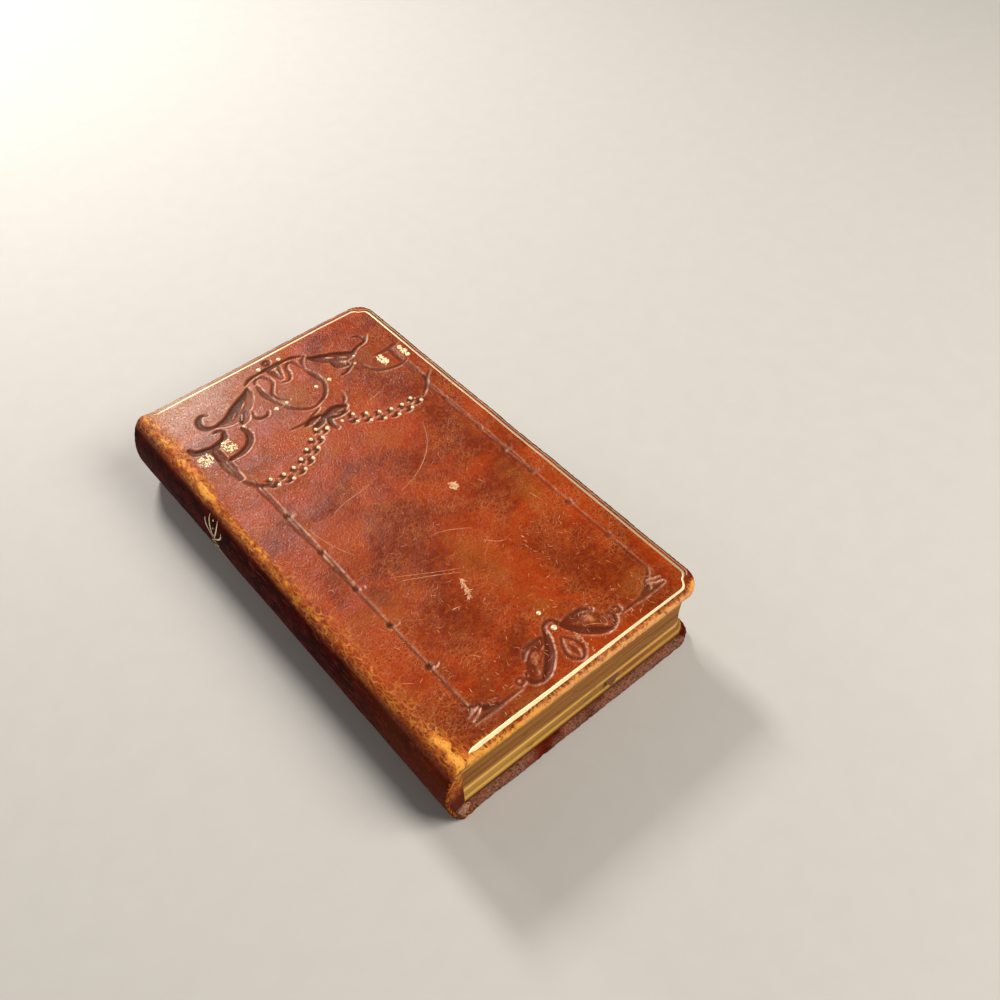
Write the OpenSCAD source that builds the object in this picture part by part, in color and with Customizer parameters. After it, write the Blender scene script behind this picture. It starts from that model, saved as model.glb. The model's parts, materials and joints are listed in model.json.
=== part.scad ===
// Small leather-bound prayer book: two boards, a rounded spine, sewn sections and turning end leaves.
// Frame: origin below the middle of the closed book, +X to the fore-edge, +Y to the head, +Z to the front cover.

/* [Covers] */
// Height of a cover from tail to head, over its rounded edges
cover_h = 119.4; // [100:0.2:140]
// Width of a cover from the spine shoulder to the fore-edge
cover_w = 63; // [50:0.2:75]
// Thickness of a cover: leather, board and paper together
cover_t = 2.8; // [2.4:0.1:3.4]
// Thickness of the covering leather
leather_t = 0.8; // [0.5:0.05:1]
// Radius of the two fore-edge corners of a cover
cover_corner_r = 5; // [3:0.1:8]
// Width of the leather turned in over the inside of a board
turn_in_w = 9; // [6:0.5:14]

/* [Spine] */
// How far the rounded spine stands out behind the shoulders
spine_bulge = 4.5; // [3.5:0.1:5.5]
// Thickness of the whole closed book
book_t = 20.3; // [18:0.1:24]
// Radius about each hinge line that the turning pieces stay outside
turn_r = 4.6; // [4.4:0.1:5.5]

/* [Pages] */
// Height of the pages
page_h = 116.2; // [96:0.2:135]
// Distance from the spine shoulder to the fore-edge of the outermost leaf
page_reach = 61.7; // [48:0.1:73]
// Radius of the rounded page corners
page_corner_r = 3.2; // [2:0.1:6]
// Number of sewn sections
section_count = 14; // [8:1:20]
// How far the spine of the middle section stands behind the shoulders
page_round = 3; // [2.5:0.1:3.4]
// Thickness of a single end leaf
leaf_t = 0.2; // [0.15:0.05:0.3]
// Thickness of each group of leaves that turns together
leaf_group_t = 0.4; // [0.3:0.05:0.8]

/* [Marker] */
// Width of the ribbon marker
ribbon_w = 3.4; // [2:0.2:8]
// How far the worn end of the ribbon stands out at the tail
ribbon_stub = 0.9; // [0.5:0.1:1.2]

/* [Hidden] */
// Flat facets in a quarter turn of a rounded edge or corner
quarter_steps = 8;
// Flat facets over the rounded spine
spine_steps = 28;
$fn = 96;

// Clearances: between stacked pieces on different bodies, and at the split of the joint leather
stack_gap = 0.02;
split_gap = 0.15;

// Layers of a cover, from its inner face outwards
pastedown_t = 0.12;
turn_in_t = 0.3;
board_t = cover_t - leather_t - pastedown_t - turn_in_t;
pastedown_margin = 3;

// Layers over the backs of the sections, from the pages outwards
tape_t = 0.2;
lining_t = 0.1;
layer_gap = 0.05;
inlay_t = 0.2;
// How far up and down the rounded spine, in degrees, the tapes and the glued layers reach
tape_top = 48;
lining_top = 54;
// Half height of the ellipse that the backs of the sections follow
back_half = book_t / 2 - cover_t + 0.2;

// Front hinge line, seen along Y: in the inner face of the front board, just behind the shoulder
hinge_x = -0.8;
hinge_z = book_t - cover_t;
mid_z = book_t / 2;
// End of the fixed shoulder leather at the outer face, just inside the turning pieces
shoulder_x = hinge_x + sqrt(pow(turn_r - split_gap, 2) - pow(cover_t, 2));
// Where the turning leaves begin, and where their sewn stubs end
leaf_x = hinge_x + turn_r + layer_gap;
stub_x = hinge_x + turn_r - split_gap;

// Stack of turning leaves under the front board: first leaf's top, and the pitch of the stack
front_stack_top = hinge_z - stack_gap;
leaf_pitch = leaf_t + stack_gap;
group_pitch = leaf_group_t + stack_gap;
front_stack_t = 2 * leaf_pitch + 2 * group_pitch;
back_stack_t = leaf_pitch + group_pitch;

// Sewn sections fill the height between the two stacks, less a slit for the ribbon
block_bottom = cover_t + stack_gap + back_stack_t;
block_top = front_stack_top - front_stack_t;
ribbon_t = 0.14;
ribbon_slit = ribbon_t + 2 * stack_gap;
ribbon_below = 4;
section_t = (block_top - block_bottom - ribbon_slit) / section_count;

// Ribbon route, seen from above: its middle line at the spine, at the tail edge and its half width
ribbon_head = [1, page_h / 2 - 2];
ribbon_tail = [39.4, -page_h / 2 - ribbon_stub];

// Sewing stations up the spine
tape_y = [-34, 0, 34];
tape_w = 7;
kettle_y = [-50, 50];
thread_w = 0.6;

// Endbands and headcaps at both ends of the spine
band_w = 0.7;
band_gap = 0.1;
cap_t = 0.7;
cap_start = page_h / 2 + band_w + band_gap;

// The book's own middle, from the shoulder line to the middle of the closed book
centre_x = (cover_w - spine_bulge) / 2;

leather_colour = "saddlebrown";
paper_colour = "burlywood";

// Puts a piece drawn from the shoulder line into the book's own frame
module place() {
    translate([-centre_x, 0, 0]) children();
}

// Turns a piece drawn for the front cover over to the back cover
module to_back() {
    translate([0, 0, book_t]) mirror([0, 0, 1]) children();
}

// Extrudes an outline drawn in x and z along y, between two y positions
module along_y(y0, y1) {
    translate([0, y1, 0]) rotate([90, 0, 0]) linear_extrude(y1 - y0) children();
}

// Plan outline from x0 to x1 with rounded corners on the far side
function plan_outline(x0, x1, height, corner) = concat(
    [[x0, height / 2], [x0, -height / 2]],
    [for (i = [0 : quarter_steps]) let (a = -90 + 90 * i / quarter_steps)
        [x1 - corner + corner * cos(a), corner - height / 2 + corner * sin(a)]],
    [for (i = [0 : quarter_steps]) let (a = 90 * i / quarter_steps)
        [x1 - corner + corner * cos(a), height / 2 - corner + corner * sin(a)]]
);

// Points down the half ellipse of the spine, from the top angle to the bottom one
function spine_arc(depth, half, top = 90) =
    [for (i = [0 : spine_steps]) let (a = top - 2 * top * i / spine_steps)
        [-depth * cos(a), mid_z + half * sin(a)]];

function reversed(list) = [for (i = [len(list) - 1 : -1 : 0]) list[i]];

// Depth of a rounded layer at a height above the base
function depth_at(depth, half, z) = depth * sqrt(max(0, 1 - pow((z - mid_z) / half, 2)));

// A thin rounded layer over the spine, between two half ellipses of one top angle
module spine_layer(inner, outer, half, thick, top, y0, y1) {
    along_y(y0, y1)
        polygon(concat(spine_arc(outer, half + thick, top), reversed(spine_arc(inner, half, top))));
}

// Half-round edge profile, from the axis of a corner out to its reach
module edge_profile(reach, thick) {
    round_r = thick / 2;
    polygon(concat(
        [[0, thick], [0, 0]],
        [for (i = [0 : 2 * quarter_steps]) let (a = -90 + 90 * i / quarter_steps)
            [reach - round_r + round_r * cos(a), round_r + round_r * sin(a)]]
    ));
}

// A slab with half-round tail, head and fore-edge, open on the spine side
module rounded_slab() {
    inner_x = cover_w - cover_corner_r;
    inner_y = cover_h / 2 - cover_corner_r;
    translate([0, -inner_y, 0]) cube([inner_x, 2 * inner_y, cover_t]);
    translate([inner_x, inner_y, 0]) rotate([90, 0, 0])
        linear_extrude(2 * inner_y) edge_profile(cover_corner_r, cover_t);
    for (side = [0, 1]) mirror([0, side, 0]) {
        translate([0, inner_y, 0]) rotate([90, 0, 90])
            linear_extrude(inner_x) edge_profile(cover_corner_r, cover_t);
        translate([inner_x, inner_y, 0])
            rotate_extrude(angle = 90) edge_profile(cover_corner_r, cover_t);
    }
}

// Clears the space round the front hinge line that belongs to the fixed joint leather
module hinge_clearance() {
    translate([hinge_x, cover_h, hinge_z]) rotate([90, 0, 0]) cylinder(h = 2 * cover_h, r = turn_r);
}

// A flat layer of a cover, from its inner face outwards
module cover_layer(from_inner, thick, inset, corner) {
    translate([0, 0, hinge_z + from_inner]) linear_extrude(thick)
        polygon(plan_outline(0, cover_w - inset, cover_h - 2 * inset, corner));
}

module leather_cover() {
    difference() {
        translate([0, 0, hinge_z]) rounded_slab();
        board_space();
        infill_space();
        pastedown_space();
        hinge_clearance();
    }
}

module board_space() {
    cover_layer(pastedown_t + turn_in_t, board_t, leather_t, cover_corner_r - leather_t);
}

module infill_space() {
    cover_layer(pastedown_t, turn_in_t, turn_in_w, 1);
}

module pastedown_space() {
    cover_layer(0, pastedown_t, pastedown_margin, cover_corner_r - pastedown_margin);
}

module front_leather() {
    color(leather_colour) place() leather_cover();
}

module front_board() {
    color("tan") place() difference() {
        board_space();
        hinge_clearance();
    }
}

module front_infill() {
    color("wheat") place() difference() {
        infill_space();
        hinge_clearance();
    }
}

module front_pastedown() {
    color("cornsilk") place() difference() {
        pastedown_space();
        hinge_clearance();
    }
}

module back_leather() {
    to_back() front_leather();
}

module back_board() {
    to_back() front_board();
}

module back_infill() {
    to_back() front_infill();
}

module back_pastedown() {
    to_back() front_pastedown();
}

// Fixed leather over the rounded spine, out to the two joints, with turned-in headcaps
module spine_leather() {
    inner_half = mid_z - leather_t;
    inner_depth = spine_bulge - leather_t;
    color("maroon") place() {
        along_y(-cap_start, cap_start) polygon(concat(
            [[shoulder_x, book_t]],
            spine_arc(spine_bulge, mid_z),
            [[shoulder_x, 0], [shoulder_x, leather_t]],
            reversed(spine_arc(inner_depth, inner_half)),
            [[shoulder_x, book_t - leather_t]]
        ));
        for (side = [0, 1]) mirror([0, side, 0]) along_y(cap_start, cap_start + cap_t) polygon(concat(
            [[shoulder_x, book_t]],
            spine_arc(spine_bulge, mid_z),
            [[shoulder_x, 0], [shoulder_x, leather_t]],
            reversed(spine_arc(page_round, back_half)),
            [[shoulder_x, book_t - leather_t]]
        ));
    }
}

// Card that stiffens the spine leather
module spine_inlay() {
    inner = spine_bulge - leather_t - layer_gap - inlay_t;
    color("peru") place()
        spine_layer(inner, inner + inlay_t, back_half + 4 * layer_gap + tape_t + lining_t, inlay_t, lining_top,
            -page_h / 2, page_h / 2);
}

// Glued cloth and paper over the backs of the sections
module spine_lining() {
    inner = page_round + tape_t + 2 * layer_gap;
    color("lightgrey") place()
        spine_layer(inner, inner + lining_t, back_half + tape_t + 2 * layer_gap, lining_t, lining_top,
            -page_h / 2 + band_w, page_h / 2 - band_w);
}

// Three flat tapes that the sections are sewn onto
module sewing_tapes() {
    inner = page_round + layer_gap;
    color("ivory") place()
        for (y = tape_y)
            spine_layer(inner, inner + tape_t, back_half + layer_gap, tape_t, tape_top, y - tape_w / 2, y + tape_w / 2);
}

// Kettle stitches that link the sections near both ends of the spine
module sewing_thread() {
    inner = page_round + layer_gap;
    color("white") place()
        for (y = kettle_y)
            spine_layer(inner, inner + tape_t, back_half + layer_gap, tape_t, tape_top, y - thread_w / 2, y + thread_w / 2);
}

// Worked band over the end of the pages, under the headcap
module endband() {
    place() spine_layer(page_round - 1.6, page_round - 0.1, back_half - 1.2, 1, lining_top, page_h / 2, page_h / 2 + band_w);
}

module headband() {
    color("darkred") endband();
}

module tailband() {
    color("darkred") mirror([0, 1, 0]) endband();
}

// Ribbon pressed between two sections, with its worn end out at the tail
module ribbon_marker() {
    along = (ribbon_tail - ribbon_head) / norm(ribbon_tail - ribbon_head);
    across = [-along[1], along[0]] * ribbon_w / 2;
    z = block_bottom + ribbon_below * section_t + stack_gap;
    color("rosybrown") place() translate([0, 0, z]) linear_extrude(ribbon_t)
        polygon([ribbon_head + across, ribbon_head - across, ribbon_tail - across, ribbon_tail + across]);
}

// Underside of a section, above the ribbon's slit where it lies higher
function section_z(i) = block_bottom + (i - 1) * section_t + (i > ribbon_below ? ribbon_slit : 0);

// One folded and sewn section; the outer two also hold the sewn stubs of the turning leaves
module section(i) {
    z0 = section_z(i);
    z1 = z0 + section_t;
    fold_x = -depth_at(page_round, back_half, (z0 + z1) / 2);
    fold = section_t / 2;
    fore0 = page_reach - depth_at(page_round, back_half, z0) + depth_at(page_round, back_half, block_bottom);
    fore1 = page_reach - depth_at(page_round, back_half, z1) + depth_at(page_round, back_half, block_bottom);
    color(paper_colour) place() {
        intersection() {
            along_y(-page_h / 2, page_h / 2) polygon(concat(
                [[fore1, z1]],
                [for (k = [0 : quarter_steps]) let (a = 90 - 180 * k / quarter_steps)
                    [fold_x + fold - fold * cos(a), z0 + fold + fold * sin(a)]],
                [[fore0, z0]]
            ));
            translate([0, 0, z0]) linear_extrude(section_t)
                polygon(plan_outline(-spine_bulge, max(fore0, fore1), page_h, page_corner_r));
        }
        if (i == 1)
            translate([fold_x + fold, -page_h / 2, z0 - back_stack_t])
                cube([stub_x - fold_x - fold, page_h, back_stack_t]);
        if (i == section_count)
            translate([fold_x + fold, -page_h / 2, z1])
                cube([stub_x - fold_x - fold, page_h, front_stack_t]);
    }
}

// A flat leaf, or a group of leaves, with its top at a depth below the front stack's top
module turning_leaf(depth, thick) {
    place() translate([0, 0, front_stack_top - depth - thick]) linear_extrude(thick)
        polygon(plan_outline(leaf_x, page_reach, page_h, page_corner_r));
}

module front_flyleaf() {
    color("cornsilk") turning_leaf(0, leaf_t);
}

module title_leaf() {
    color("linen") turning_leaf(leaf_pitch, leaf_t);
}

module front_leaves_outer() {
    color(paper_colour) turning_leaf(2 * leaf_pitch, leaf_group_t);
}

module front_leaves_inner() {
    color(paper_colour) turning_leaf(2 * leaf_pitch + group_pitch, leaf_group_t);
}

module back_flyleaf() {
    color("cornsilk") to_back() turning_leaf(0, leaf_t);
}

module back_leaves() {
    color(paper_colour) to_back() turning_leaf(leaf_pitch, leaf_group_t);
}

front_leather();
front_board();
front_infill();
front_pastedown();
back_leather();
back_board();
back_infill();
back_pastedown();
spine_leather();
spine_inlay();
spine_lining();
sewing_tapes();
sewing_thread();
headband();
tailband();
ribbon_marker();
for (i = [1 : section_count])
    section(i);
front_flyleaf();
title_leaf();
front_leaves_outer();
front_leaves_inner();
back_flyleaf();
back_leaves();
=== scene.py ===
import json
import math

import bpy
import numpy as np
from mathutils import Matrix, Vector


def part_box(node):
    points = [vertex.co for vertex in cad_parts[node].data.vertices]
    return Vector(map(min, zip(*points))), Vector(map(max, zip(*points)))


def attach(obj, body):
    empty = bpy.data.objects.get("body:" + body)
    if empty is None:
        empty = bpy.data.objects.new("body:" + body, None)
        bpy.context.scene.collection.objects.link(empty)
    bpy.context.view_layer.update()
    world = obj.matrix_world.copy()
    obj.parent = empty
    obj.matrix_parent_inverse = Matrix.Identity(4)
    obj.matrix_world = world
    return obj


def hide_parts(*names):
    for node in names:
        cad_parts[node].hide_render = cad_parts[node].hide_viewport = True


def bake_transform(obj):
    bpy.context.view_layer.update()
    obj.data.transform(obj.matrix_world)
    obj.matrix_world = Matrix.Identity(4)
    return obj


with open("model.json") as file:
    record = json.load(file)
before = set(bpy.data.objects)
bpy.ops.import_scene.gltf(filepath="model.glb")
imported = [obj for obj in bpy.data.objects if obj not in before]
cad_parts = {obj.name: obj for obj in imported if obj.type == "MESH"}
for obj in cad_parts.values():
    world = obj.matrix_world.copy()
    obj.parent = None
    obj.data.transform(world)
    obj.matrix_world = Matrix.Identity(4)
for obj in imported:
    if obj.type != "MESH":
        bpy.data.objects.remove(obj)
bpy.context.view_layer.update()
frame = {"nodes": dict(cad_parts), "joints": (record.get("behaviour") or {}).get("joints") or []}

# Lengths are millimetres in the cover's own coordinates: x from the spine shoulder to the fore-edge,
# y from the middle towards the head, z up from the underside. to_frame() turns them into metres.
MM = 0.001
JOINTS = {j["name"]: j for j in frame["joints"]}
HINGE = Vector(JOINTS["front_cover_hinge"]["pos_m"]) / MM
HINGE_BACK = -0.8
SHOULDER_X = HINGE.x - HINGE_BACK
COVER_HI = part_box("front_leather")[1] / MM
SPINE_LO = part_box("spine_leather")[0] / MM
BOOK_T = COVER_HI.z
COVER_W = COVER_HI.x - SHOULDER_X
HALF_H = COVER_HI.y
COVER_T = BOOK_T - HINGE.z
BULGE = SHOULDER_X - SPINE_LO.x
EDGE_R = COVER_T / 2
CORNER_R = 5.0
TURN_X = 3.75
# Heights are counted from a line this far inside the tail edge, and COVER_H is the height from there
# to the same line at the head
EDGE_ROLL = 0.7
COVER_H = 118.0
TAIL_Y = -HALF_H + EDGE_ROLL


# ---------------------------------------------------------------- small tools


def smooth(low, high, value):
    t = np.clip((np.asarray(value, float) - low) / (high - low), 0, 1)
    return t * t * (3 - 2 * t)


def bump_at(value, centre, width):
    return np.exp(-(((np.asarray(value, float) - centre) / width) ** 2))


def value_noise(x, y, cell, seed):
    """Smooth noise from 0 to 1 over the plane, with features about a cell wide."""
    table = np.random.default_rng(seed).random((128, 128))
    u, v = np.asarray(x) / cell + 1000, np.asarray(y) / cell + 1000
    i, j = np.floor(u).astype(int), np.floor(v).astype(int)
    fu, fv = u - i, v - j
    fu, fv = fu * fu * (3 - 2 * fu), fv * fv * (3 - 2 * fv)
    a, b = table[i % 128, j % 128], table[(i + 1) % 128, j % 128]
    c, d = table[i % 128, (j + 1) % 128], table[(i + 1) % 128, (j + 1) % 128]
    return (a * (1 - fu) + b * fu) * (1 - fv) + (c * (1 - fu) + d * fu) * fv


def curve_through(points, step=0.25):
    """A Catmull-Rom curve through points; each point may carry a width after its x and y."""
    p = np.array(points, float)
    p = np.vstack([2 * p[0] - p[1], p, 2 * p[-1] - p[-2]])
    out = []
    for a, b, c, d in zip(p[:-3], p[1:-2], p[2:-1], p[3:]):
        n = max(2, int(np.linalg.norm(c[:2] - b[:2]) / step) + 1)
        t = np.linspace(0, 1, n, endpoint=False)[:, None]
        square, cube = 2 * a - 5 * b + 4 * c - d, 3 * b - a - 3 * c + d
        out.append(0.5 * (2 * b + (c - a) * t + square * t**2 + cube * t**3))
    out.append(p[-2][None])
    return np.vstack(out)


def to_frame(x, y, z):
    return np.stack([(x + SHOULDER_X) * MM, y * MM, z * MM], -1)


def make_mesh(name, points, faces, material, attributes=(), smooth_faces=True):
    mesh = bpy.data.meshes.new(name)
    corners = [tuple(p) for p in np.asarray(points).reshape(-1, 3)]
    mesh.from_pydata(corners, [], [tuple(map(int, f)) for f in faces])
    for key, values in dict(attributes).items():
        layer = mesh.attributes.new(key, "FLOAT", "POINT")
        layer.data.foreach_set("value", np.asarray(values, np.float32).ravel())
    mesh.polygons.foreach_set("use_smooth", [smooth_faces] * len(mesh.polygons))
    mesh.materials.append(material)
    mesh.validate()
    mesh.update()
    piece = bpy.data.objects.new(name, mesh)
    bpy.context.scene.collection.objects.link(piece)
    return piece


def grid_faces(rows, columns, start=0, flip=False, closed=False):
    """Quads over a grid of points stored row by row; closed joins the last column to the first."""
    i, j = np.meshgrid(np.arange(rows - 1), np.arange(columns if closed else columns - 1), indexing="ij")
    a = start + i * columns + j
    b = start + i * columns + (j + 1) % columns
    quads = np.stack([a, b, b + columns, a + columns], -1).reshape(-1, 4)
    return quads[:, ::-1] if flip else quads


# ---------------------------------------------------------------- camera, floor and lights

CAMERA_AT = (-49.86, -78.46 - 59.0, 198.73)
AZIMUTH, ELEVATION, ROLL = (math.radians(a) for a in (-38.19, 49.09, -2.50))
LENS_MM = 39.57


def make_camera():
    back = Vector((math.sin(AZIMUTH) * math.cos(ELEVATION), -math.cos(AZIMUTH) * math.cos(ELEVATION),
                   math.sin(ELEVATION)))
    right = Vector((0, 0, 1)).cross(back).normalized()
    up = back.cross(right)
    cos, sin = math.cos(ROLL), math.sin(ROLL)
    tilted = (cos * right + sin * up, -sin * right + cos * up, back)
    data = bpy.data.cameras.new("camera")
    data.lens = LENS_MM
    data.clip_start = 0.01
    camera = bpy.data.objects.new("camera", data)
    place = Matrix(tilted).transposed().to_4x4()
    place.translation = Vector(to_frame(*CAMERA_AT))
    camera.matrix_world = place
    bpy.context.scene.collection.objects.link(camera)
    bpy.context.scene.camera = camera


def area_light(name, at, power, size, colour, target=(0.0, 0.0, 0.01)):
    data = bpy.data.lights.new(name, "AREA")
    data.energy = power
    data.size = size
    data.color = colour
    light = bpy.data.objects.new(name, data)
    light.location = at
    light.rotation_euler = (Vector(target) - Vector(at)).to_track_quat("-Z", "Y").to_euler()
    bpy.context.scene.collection.objects.link(light)


def make_stage():
    half = 1.6
    floor = make_mesh("floor", [(-half, -half, 0), (half, -half, 0), (half, half, 0), (-half, half, 0)],
                      [(0, 1, 2, 3)], floor_material())
    world = bpy.data.worlds.new("studio")
    world.use_nodes = True
    world.node_tree.nodes["Background"].inputs["Color"].default_value = (1.0, 0.96, 0.92, 1)
    world.node_tree.nodes["Background"].inputs["Strength"].default_value = 0.15
    bpy.context.scene.world = world
    bpy.context.scene.view_settings.view_transform = "Standard"
    area_light("front_fill", (0.24, -0.38, 0.48), 3.6, 0.34, (1.0, 0.92, 0.81))
    area_light("head_window", (0.072, 0.42, 0.36), 2.3, 0.11, (1.0, 0.93, 0.86), (-0.015, 0.03, 0.02))
    area_light("head_rake", (-0.12, 0.55, 0.13), 1.0, 0.12, (1.0, 0.95, 0.88), (0.0, 0.0, 0.02))


# ---------------------------------------------------------------- materials


class Shader:
    """A short way to write one node material."""

    def __init__(self, name):
        self.material = bpy.data.materials.new(name)
        self.material.use_nodes = True
        self.tree = self.material.node_tree
        self.tree.nodes.clear()
        self.surface = self.add("ShaderNodeBsdfPrincipled")
        output = self.add("ShaderNodeOutputMaterial")
        self.tree.links.new(self.surface.outputs[0], output.inputs["Surface"])

    def add(self, kind, inputs=(), **settings):
        """A node with its settings; inputs are sockets' values, or the outputs that feed them."""
        node = self.tree.nodes.new(kind)
        for key, value in settings.items():
            setattr(node, key, value)
        for key, value in dict(inputs).items():
            self.put(node.inputs[key], value)
        return node

    def put(self, socket, value):
        if hasattr(value, "links"):
            self.tree.links.new(value, socket)
        else:
            socket.default_value = value

    def attribute(self, name):
        return self.add("ShaderNodeAttribute", attribute_name=name).outputs["Fac"]

    def place(self, scale=(1, 1, 1)):
        """Object coordinates in millimetres, stretched by scale."""
        here = self.add("ShaderNodeTexCoord").outputs["Object"]
        inputs = {"Scale": tuple(s / MM for s in scale), "Vector": here}
        return self.add("ShaderNodeMapping", inputs).outputs[0]

    def noise(self, size, detail=4.0, rough=0.55, scale=(1, 1, 1), distortion=0.0):
        inputs = {"Vector": self.place(scale), "Scale": 1.0 / size, "Detail": detail, "Roughness": rough,
                  "Distortion": distortion}
        return self.add("ShaderNodeTexNoise", inputs).outputs["Fac"]

    def cells(self, size, feature="F1", scale=(1, 1, 1), stir=0.0):
        """Distance in a cell pattern, from cell centres or from edges; stir bends it, in millimetres."""
        place = self.place(scale)
        if stir:
            swirl = self.add("ShaderNodeTexNoise", {"Vector": place, "Scale": 0.8 / size, "Detail": 3.0})
            bend = {0: swirl.outputs["Color"], 1: (stir, stir, stir), 2: place}
            place = self.add("ShaderNodeVectorMath", bend, operation="MULTIPLY_ADD").outputs[0]
        inputs = {"Vector": place, "Scale": 1.0 / size}
        return self.add("ShaderNodeTexVoronoi", inputs, feature=feature).outputs["Distance"]

    def web(self, size, width, stir, scale=(1, 1, 1)):
        """A net of thin lines, 1 on a line: size is the mesh and width the line, in millimetres."""
        return self.remap(self.cells(size, "DISTANCE_TO_EDGE", scale, stir), 0.0, width / size, 1.0, 0.0)

    def wave(self, size, direction="X", distortion=0.0):
        inputs = {"Vector": self.place(), "Scale": 0.314 / size, "Distortion": distortion}
        return self.add("ShaderNodeTexWave", inputs, bands_direction=direction).outputs["Fac"]

    def remap(self, value, low, high, to_low=0.0, to_high=1.0):
        inputs = {"Value": value, "From Min": low, "From Max": high, "To Min": to_low, "To Max": to_high}
        return self.add("ShaderNodeMapRange", inputs, interpolation_type="SMOOTHSTEP").outputs[0]

    def maths(self, operation, a, b=0.0):
        return self.add("ShaderNodeMath", {0: a, 1: b}, operation=operation).outputs[0]

    def times(self, a, b):
        return self.maths("MULTIPLY", a, b)

    def mix(self, amount, a, b):
        """From colour a to colour b by amount."""
        a, b = (colour if hasattr(colour, "links") else (*colour, 1) for colour in (a, b))
        return self.add("ShaderNodeMix", {"Factor": amount, 6: a, 7: b}, data_type="RGBA").outputs[2]

    def bump(self, height, depth, below=None):
        """Surface relief: depth is the height's real size in millimetres."""
        inputs = {"Height": height, "Strength": 1.0, "Distance": depth * MM}
        if below is not None:
            inputs["Normal"] = below
        return self.add("ShaderNodeBump", inputs).outputs[0]

    def finish(self, colour, roughness, normal=None, metallic=0.0, specular=0.5, sheen=0.0):
        inputs = {"Base Color": colour, "Roughness": roughness, "Metallic": metallic,
                  "Specular IOR Level": specular, "Sheen Weight": sheen}
        if normal is not None:
            inputs["Normal"] = normal
        for key, value in inputs.items():
            self.put(self.surface.inputs[key], value)
        return self.material


def floor_material():
    s = Shader("pale_floor")
    grain = s.noise(6.0, 3.0)
    return s.finish(s.mix(grain, (0.55, 0.545, 0.53), (0.59, 0.585, 0.57)), 0.75)


def leather_material(name, gloss):
    """Worn polished calf: dark tooling, rubbed orange edges, fine pale crackle and pebbled grain, with
    painted shade on the spine and in the tooling, a painted sheen, and painted highlights on the tooling's
    rims.
    """
    s = Shader(name)
    dark, rub, pale, spine, rim = (s.attribute(a) for a in ("tooling", "rub", "pale", "spine", "rim"))
    cloud = s.noise(17.0, 4.0, 0.6, distortion=0.5)
    mottle = s.noise(1.7, 6.0, 0.7, distortion=0.6)
    base = s.mix(s.remap(cloud, 0.36, 0.64), (0.170, 0.018, 0.0030), (0.37, 0.040, 0.0036))
    base = s.mix(s.remap(mottle, 0.42, 0.70, 0.0, 0.50), base, (0.44, 0.085, 0.009))
    base = s.mix(s.remap(s.noise(0.42, 4.0, 0.65), 0.48, 0.72, 0.0, 0.75), base, (0.075, 0.008, 0.002))
    # Crackle: a net of ochre lines that comes and goes over the cover
    net = s.maths("MAXIMUM", s.times(s.web(2.2, 0.12, 1.9), 0.8), s.times(s.web(0.85, 0.09, 1.0), 0.9))
    veins = s.times(net, s.remap(s.noise(9.0, 5.0, 0.65), 0.42, 0.64, 0.05, 0.9))
    # Broad worn patches between them
    base = s.mix(s.remap(s.noise(13.0, 3.0, 0.5), 0.52, 0.68, 0.0, 0.35), base, (0.30, 0.090, 0.012))
    base = s.mix(s.times(veins, 0.46), base, (0.58, 0.20, 0.040))
    # Spine: very dark red, partly the leather's colour and partly painted shade for a spine turned away from
    # the lamps; the same mask also darkens the covers' turned edges.
    spine_tone = s.remap(s.noise(1.9, 6.0, 0.72, scale=(1, 0.4, 1)), 0.38, 0.72)
    base = s.mix(spine, base, s.mix(spine_tone, (0.022, 0.0008, 0.0005), (0.125, 0.0045, 0.0012)))
    # Rubbed leather: solid where it is worn most, broken into fibres round about
    broken = s.remap(s.noise(0.85, 7.0, 0.74, scale=(1, 0.42, 1)), 0.34, 0.62)
    solid = s.remap(s.times(rub, s.maths("ADD", s.times(broken, 0.95), 0.25)), 0.36, 0.80)
    fibres = s.times(s.web(0.95, 0.20, 1.0, (1, 0.42, 1)), s.remap(rub, 0.05, 0.40))
    rubbed = s.maths("MAXIMUM", solid, s.times(fibres, 0.6))
    rub_tone = s.remap(s.noise(2.2, 5.0, 0.68), 0.38, 0.64)
    rub_colour = s.mix(rub_tone, (0.52, 0.105, 0.010), (0.90, 0.36, 0.055))
    rub_colour = s.mix(s.remap(rub, 1.05, 1.5, 0.0, 0.8), rub_colour, (1.0, 0.47, 0.080))
    rub_colour = s.mix(s.remap(s.noise(0.30, 3.0, 0.6, scale=(1, 0.5, 1)), 0.56, 0.70, 0.0, 0.6), rub_colour,
                       (0.17, 0.026, 0.004))
    base = s.mix(rubbed, base, rub_colour)
    # Paler bare leather; where the pale mask lies over the head-left and the left margin this is a painted
    # sheen.
    bare_and_sheen = s.times(pale, s.remap(s.noise(0.42, 6.0, 0.75), 0.38, 0.62, 0.15, 1.0))
    base = s.mix(s.times(bare_and_sheen, 0.80), base, (0.67, 0.38, 0.26))
    # Tooling darkness: stain in the impressions, partly painted shade.
    base = s.mix(s.times(dark, 0.88), base, (0.050, 0.012, 0.005))
    # Rims: pale wear, and on the side turned to the light a painted highlight.
    rim_wear_and_highlight = s.times(rim, s.remap(s.noise(1.5, 4.0, 0.7), 0.40, 0.60, 0.25, 1.0))
    base = s.mix(rim_wear_and_highlight, base, (0.92, 0.60, 0.42))
    normal = s.bump(s.cells(0.46, stir=0.3), 0.034)
    normal = s.bump(s.noise(0.22, 4.0, 0.6), 0.03, normal)
    normal = s.bump(veins, -0.05, normal)
    normal = s.bump(rubbed, -0.10, normal)
    normal = s.bump(s.noise(3.6, 4.0, 0.6), 0.16, normal)
    rough = s.remap(s.noise(0.7, 5.0, 0.7), 0.32, 0.68, 0.21, 0.38)
    duller = s.maths("ADD", s.times(rubbed, 0.20), s.maths("ADD", s.times(dark, 0.15), s.times(spine, 0.30)))
    return s.finish(base, s.maths("ADD", rough, duller), normal, specular=gloss)


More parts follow.
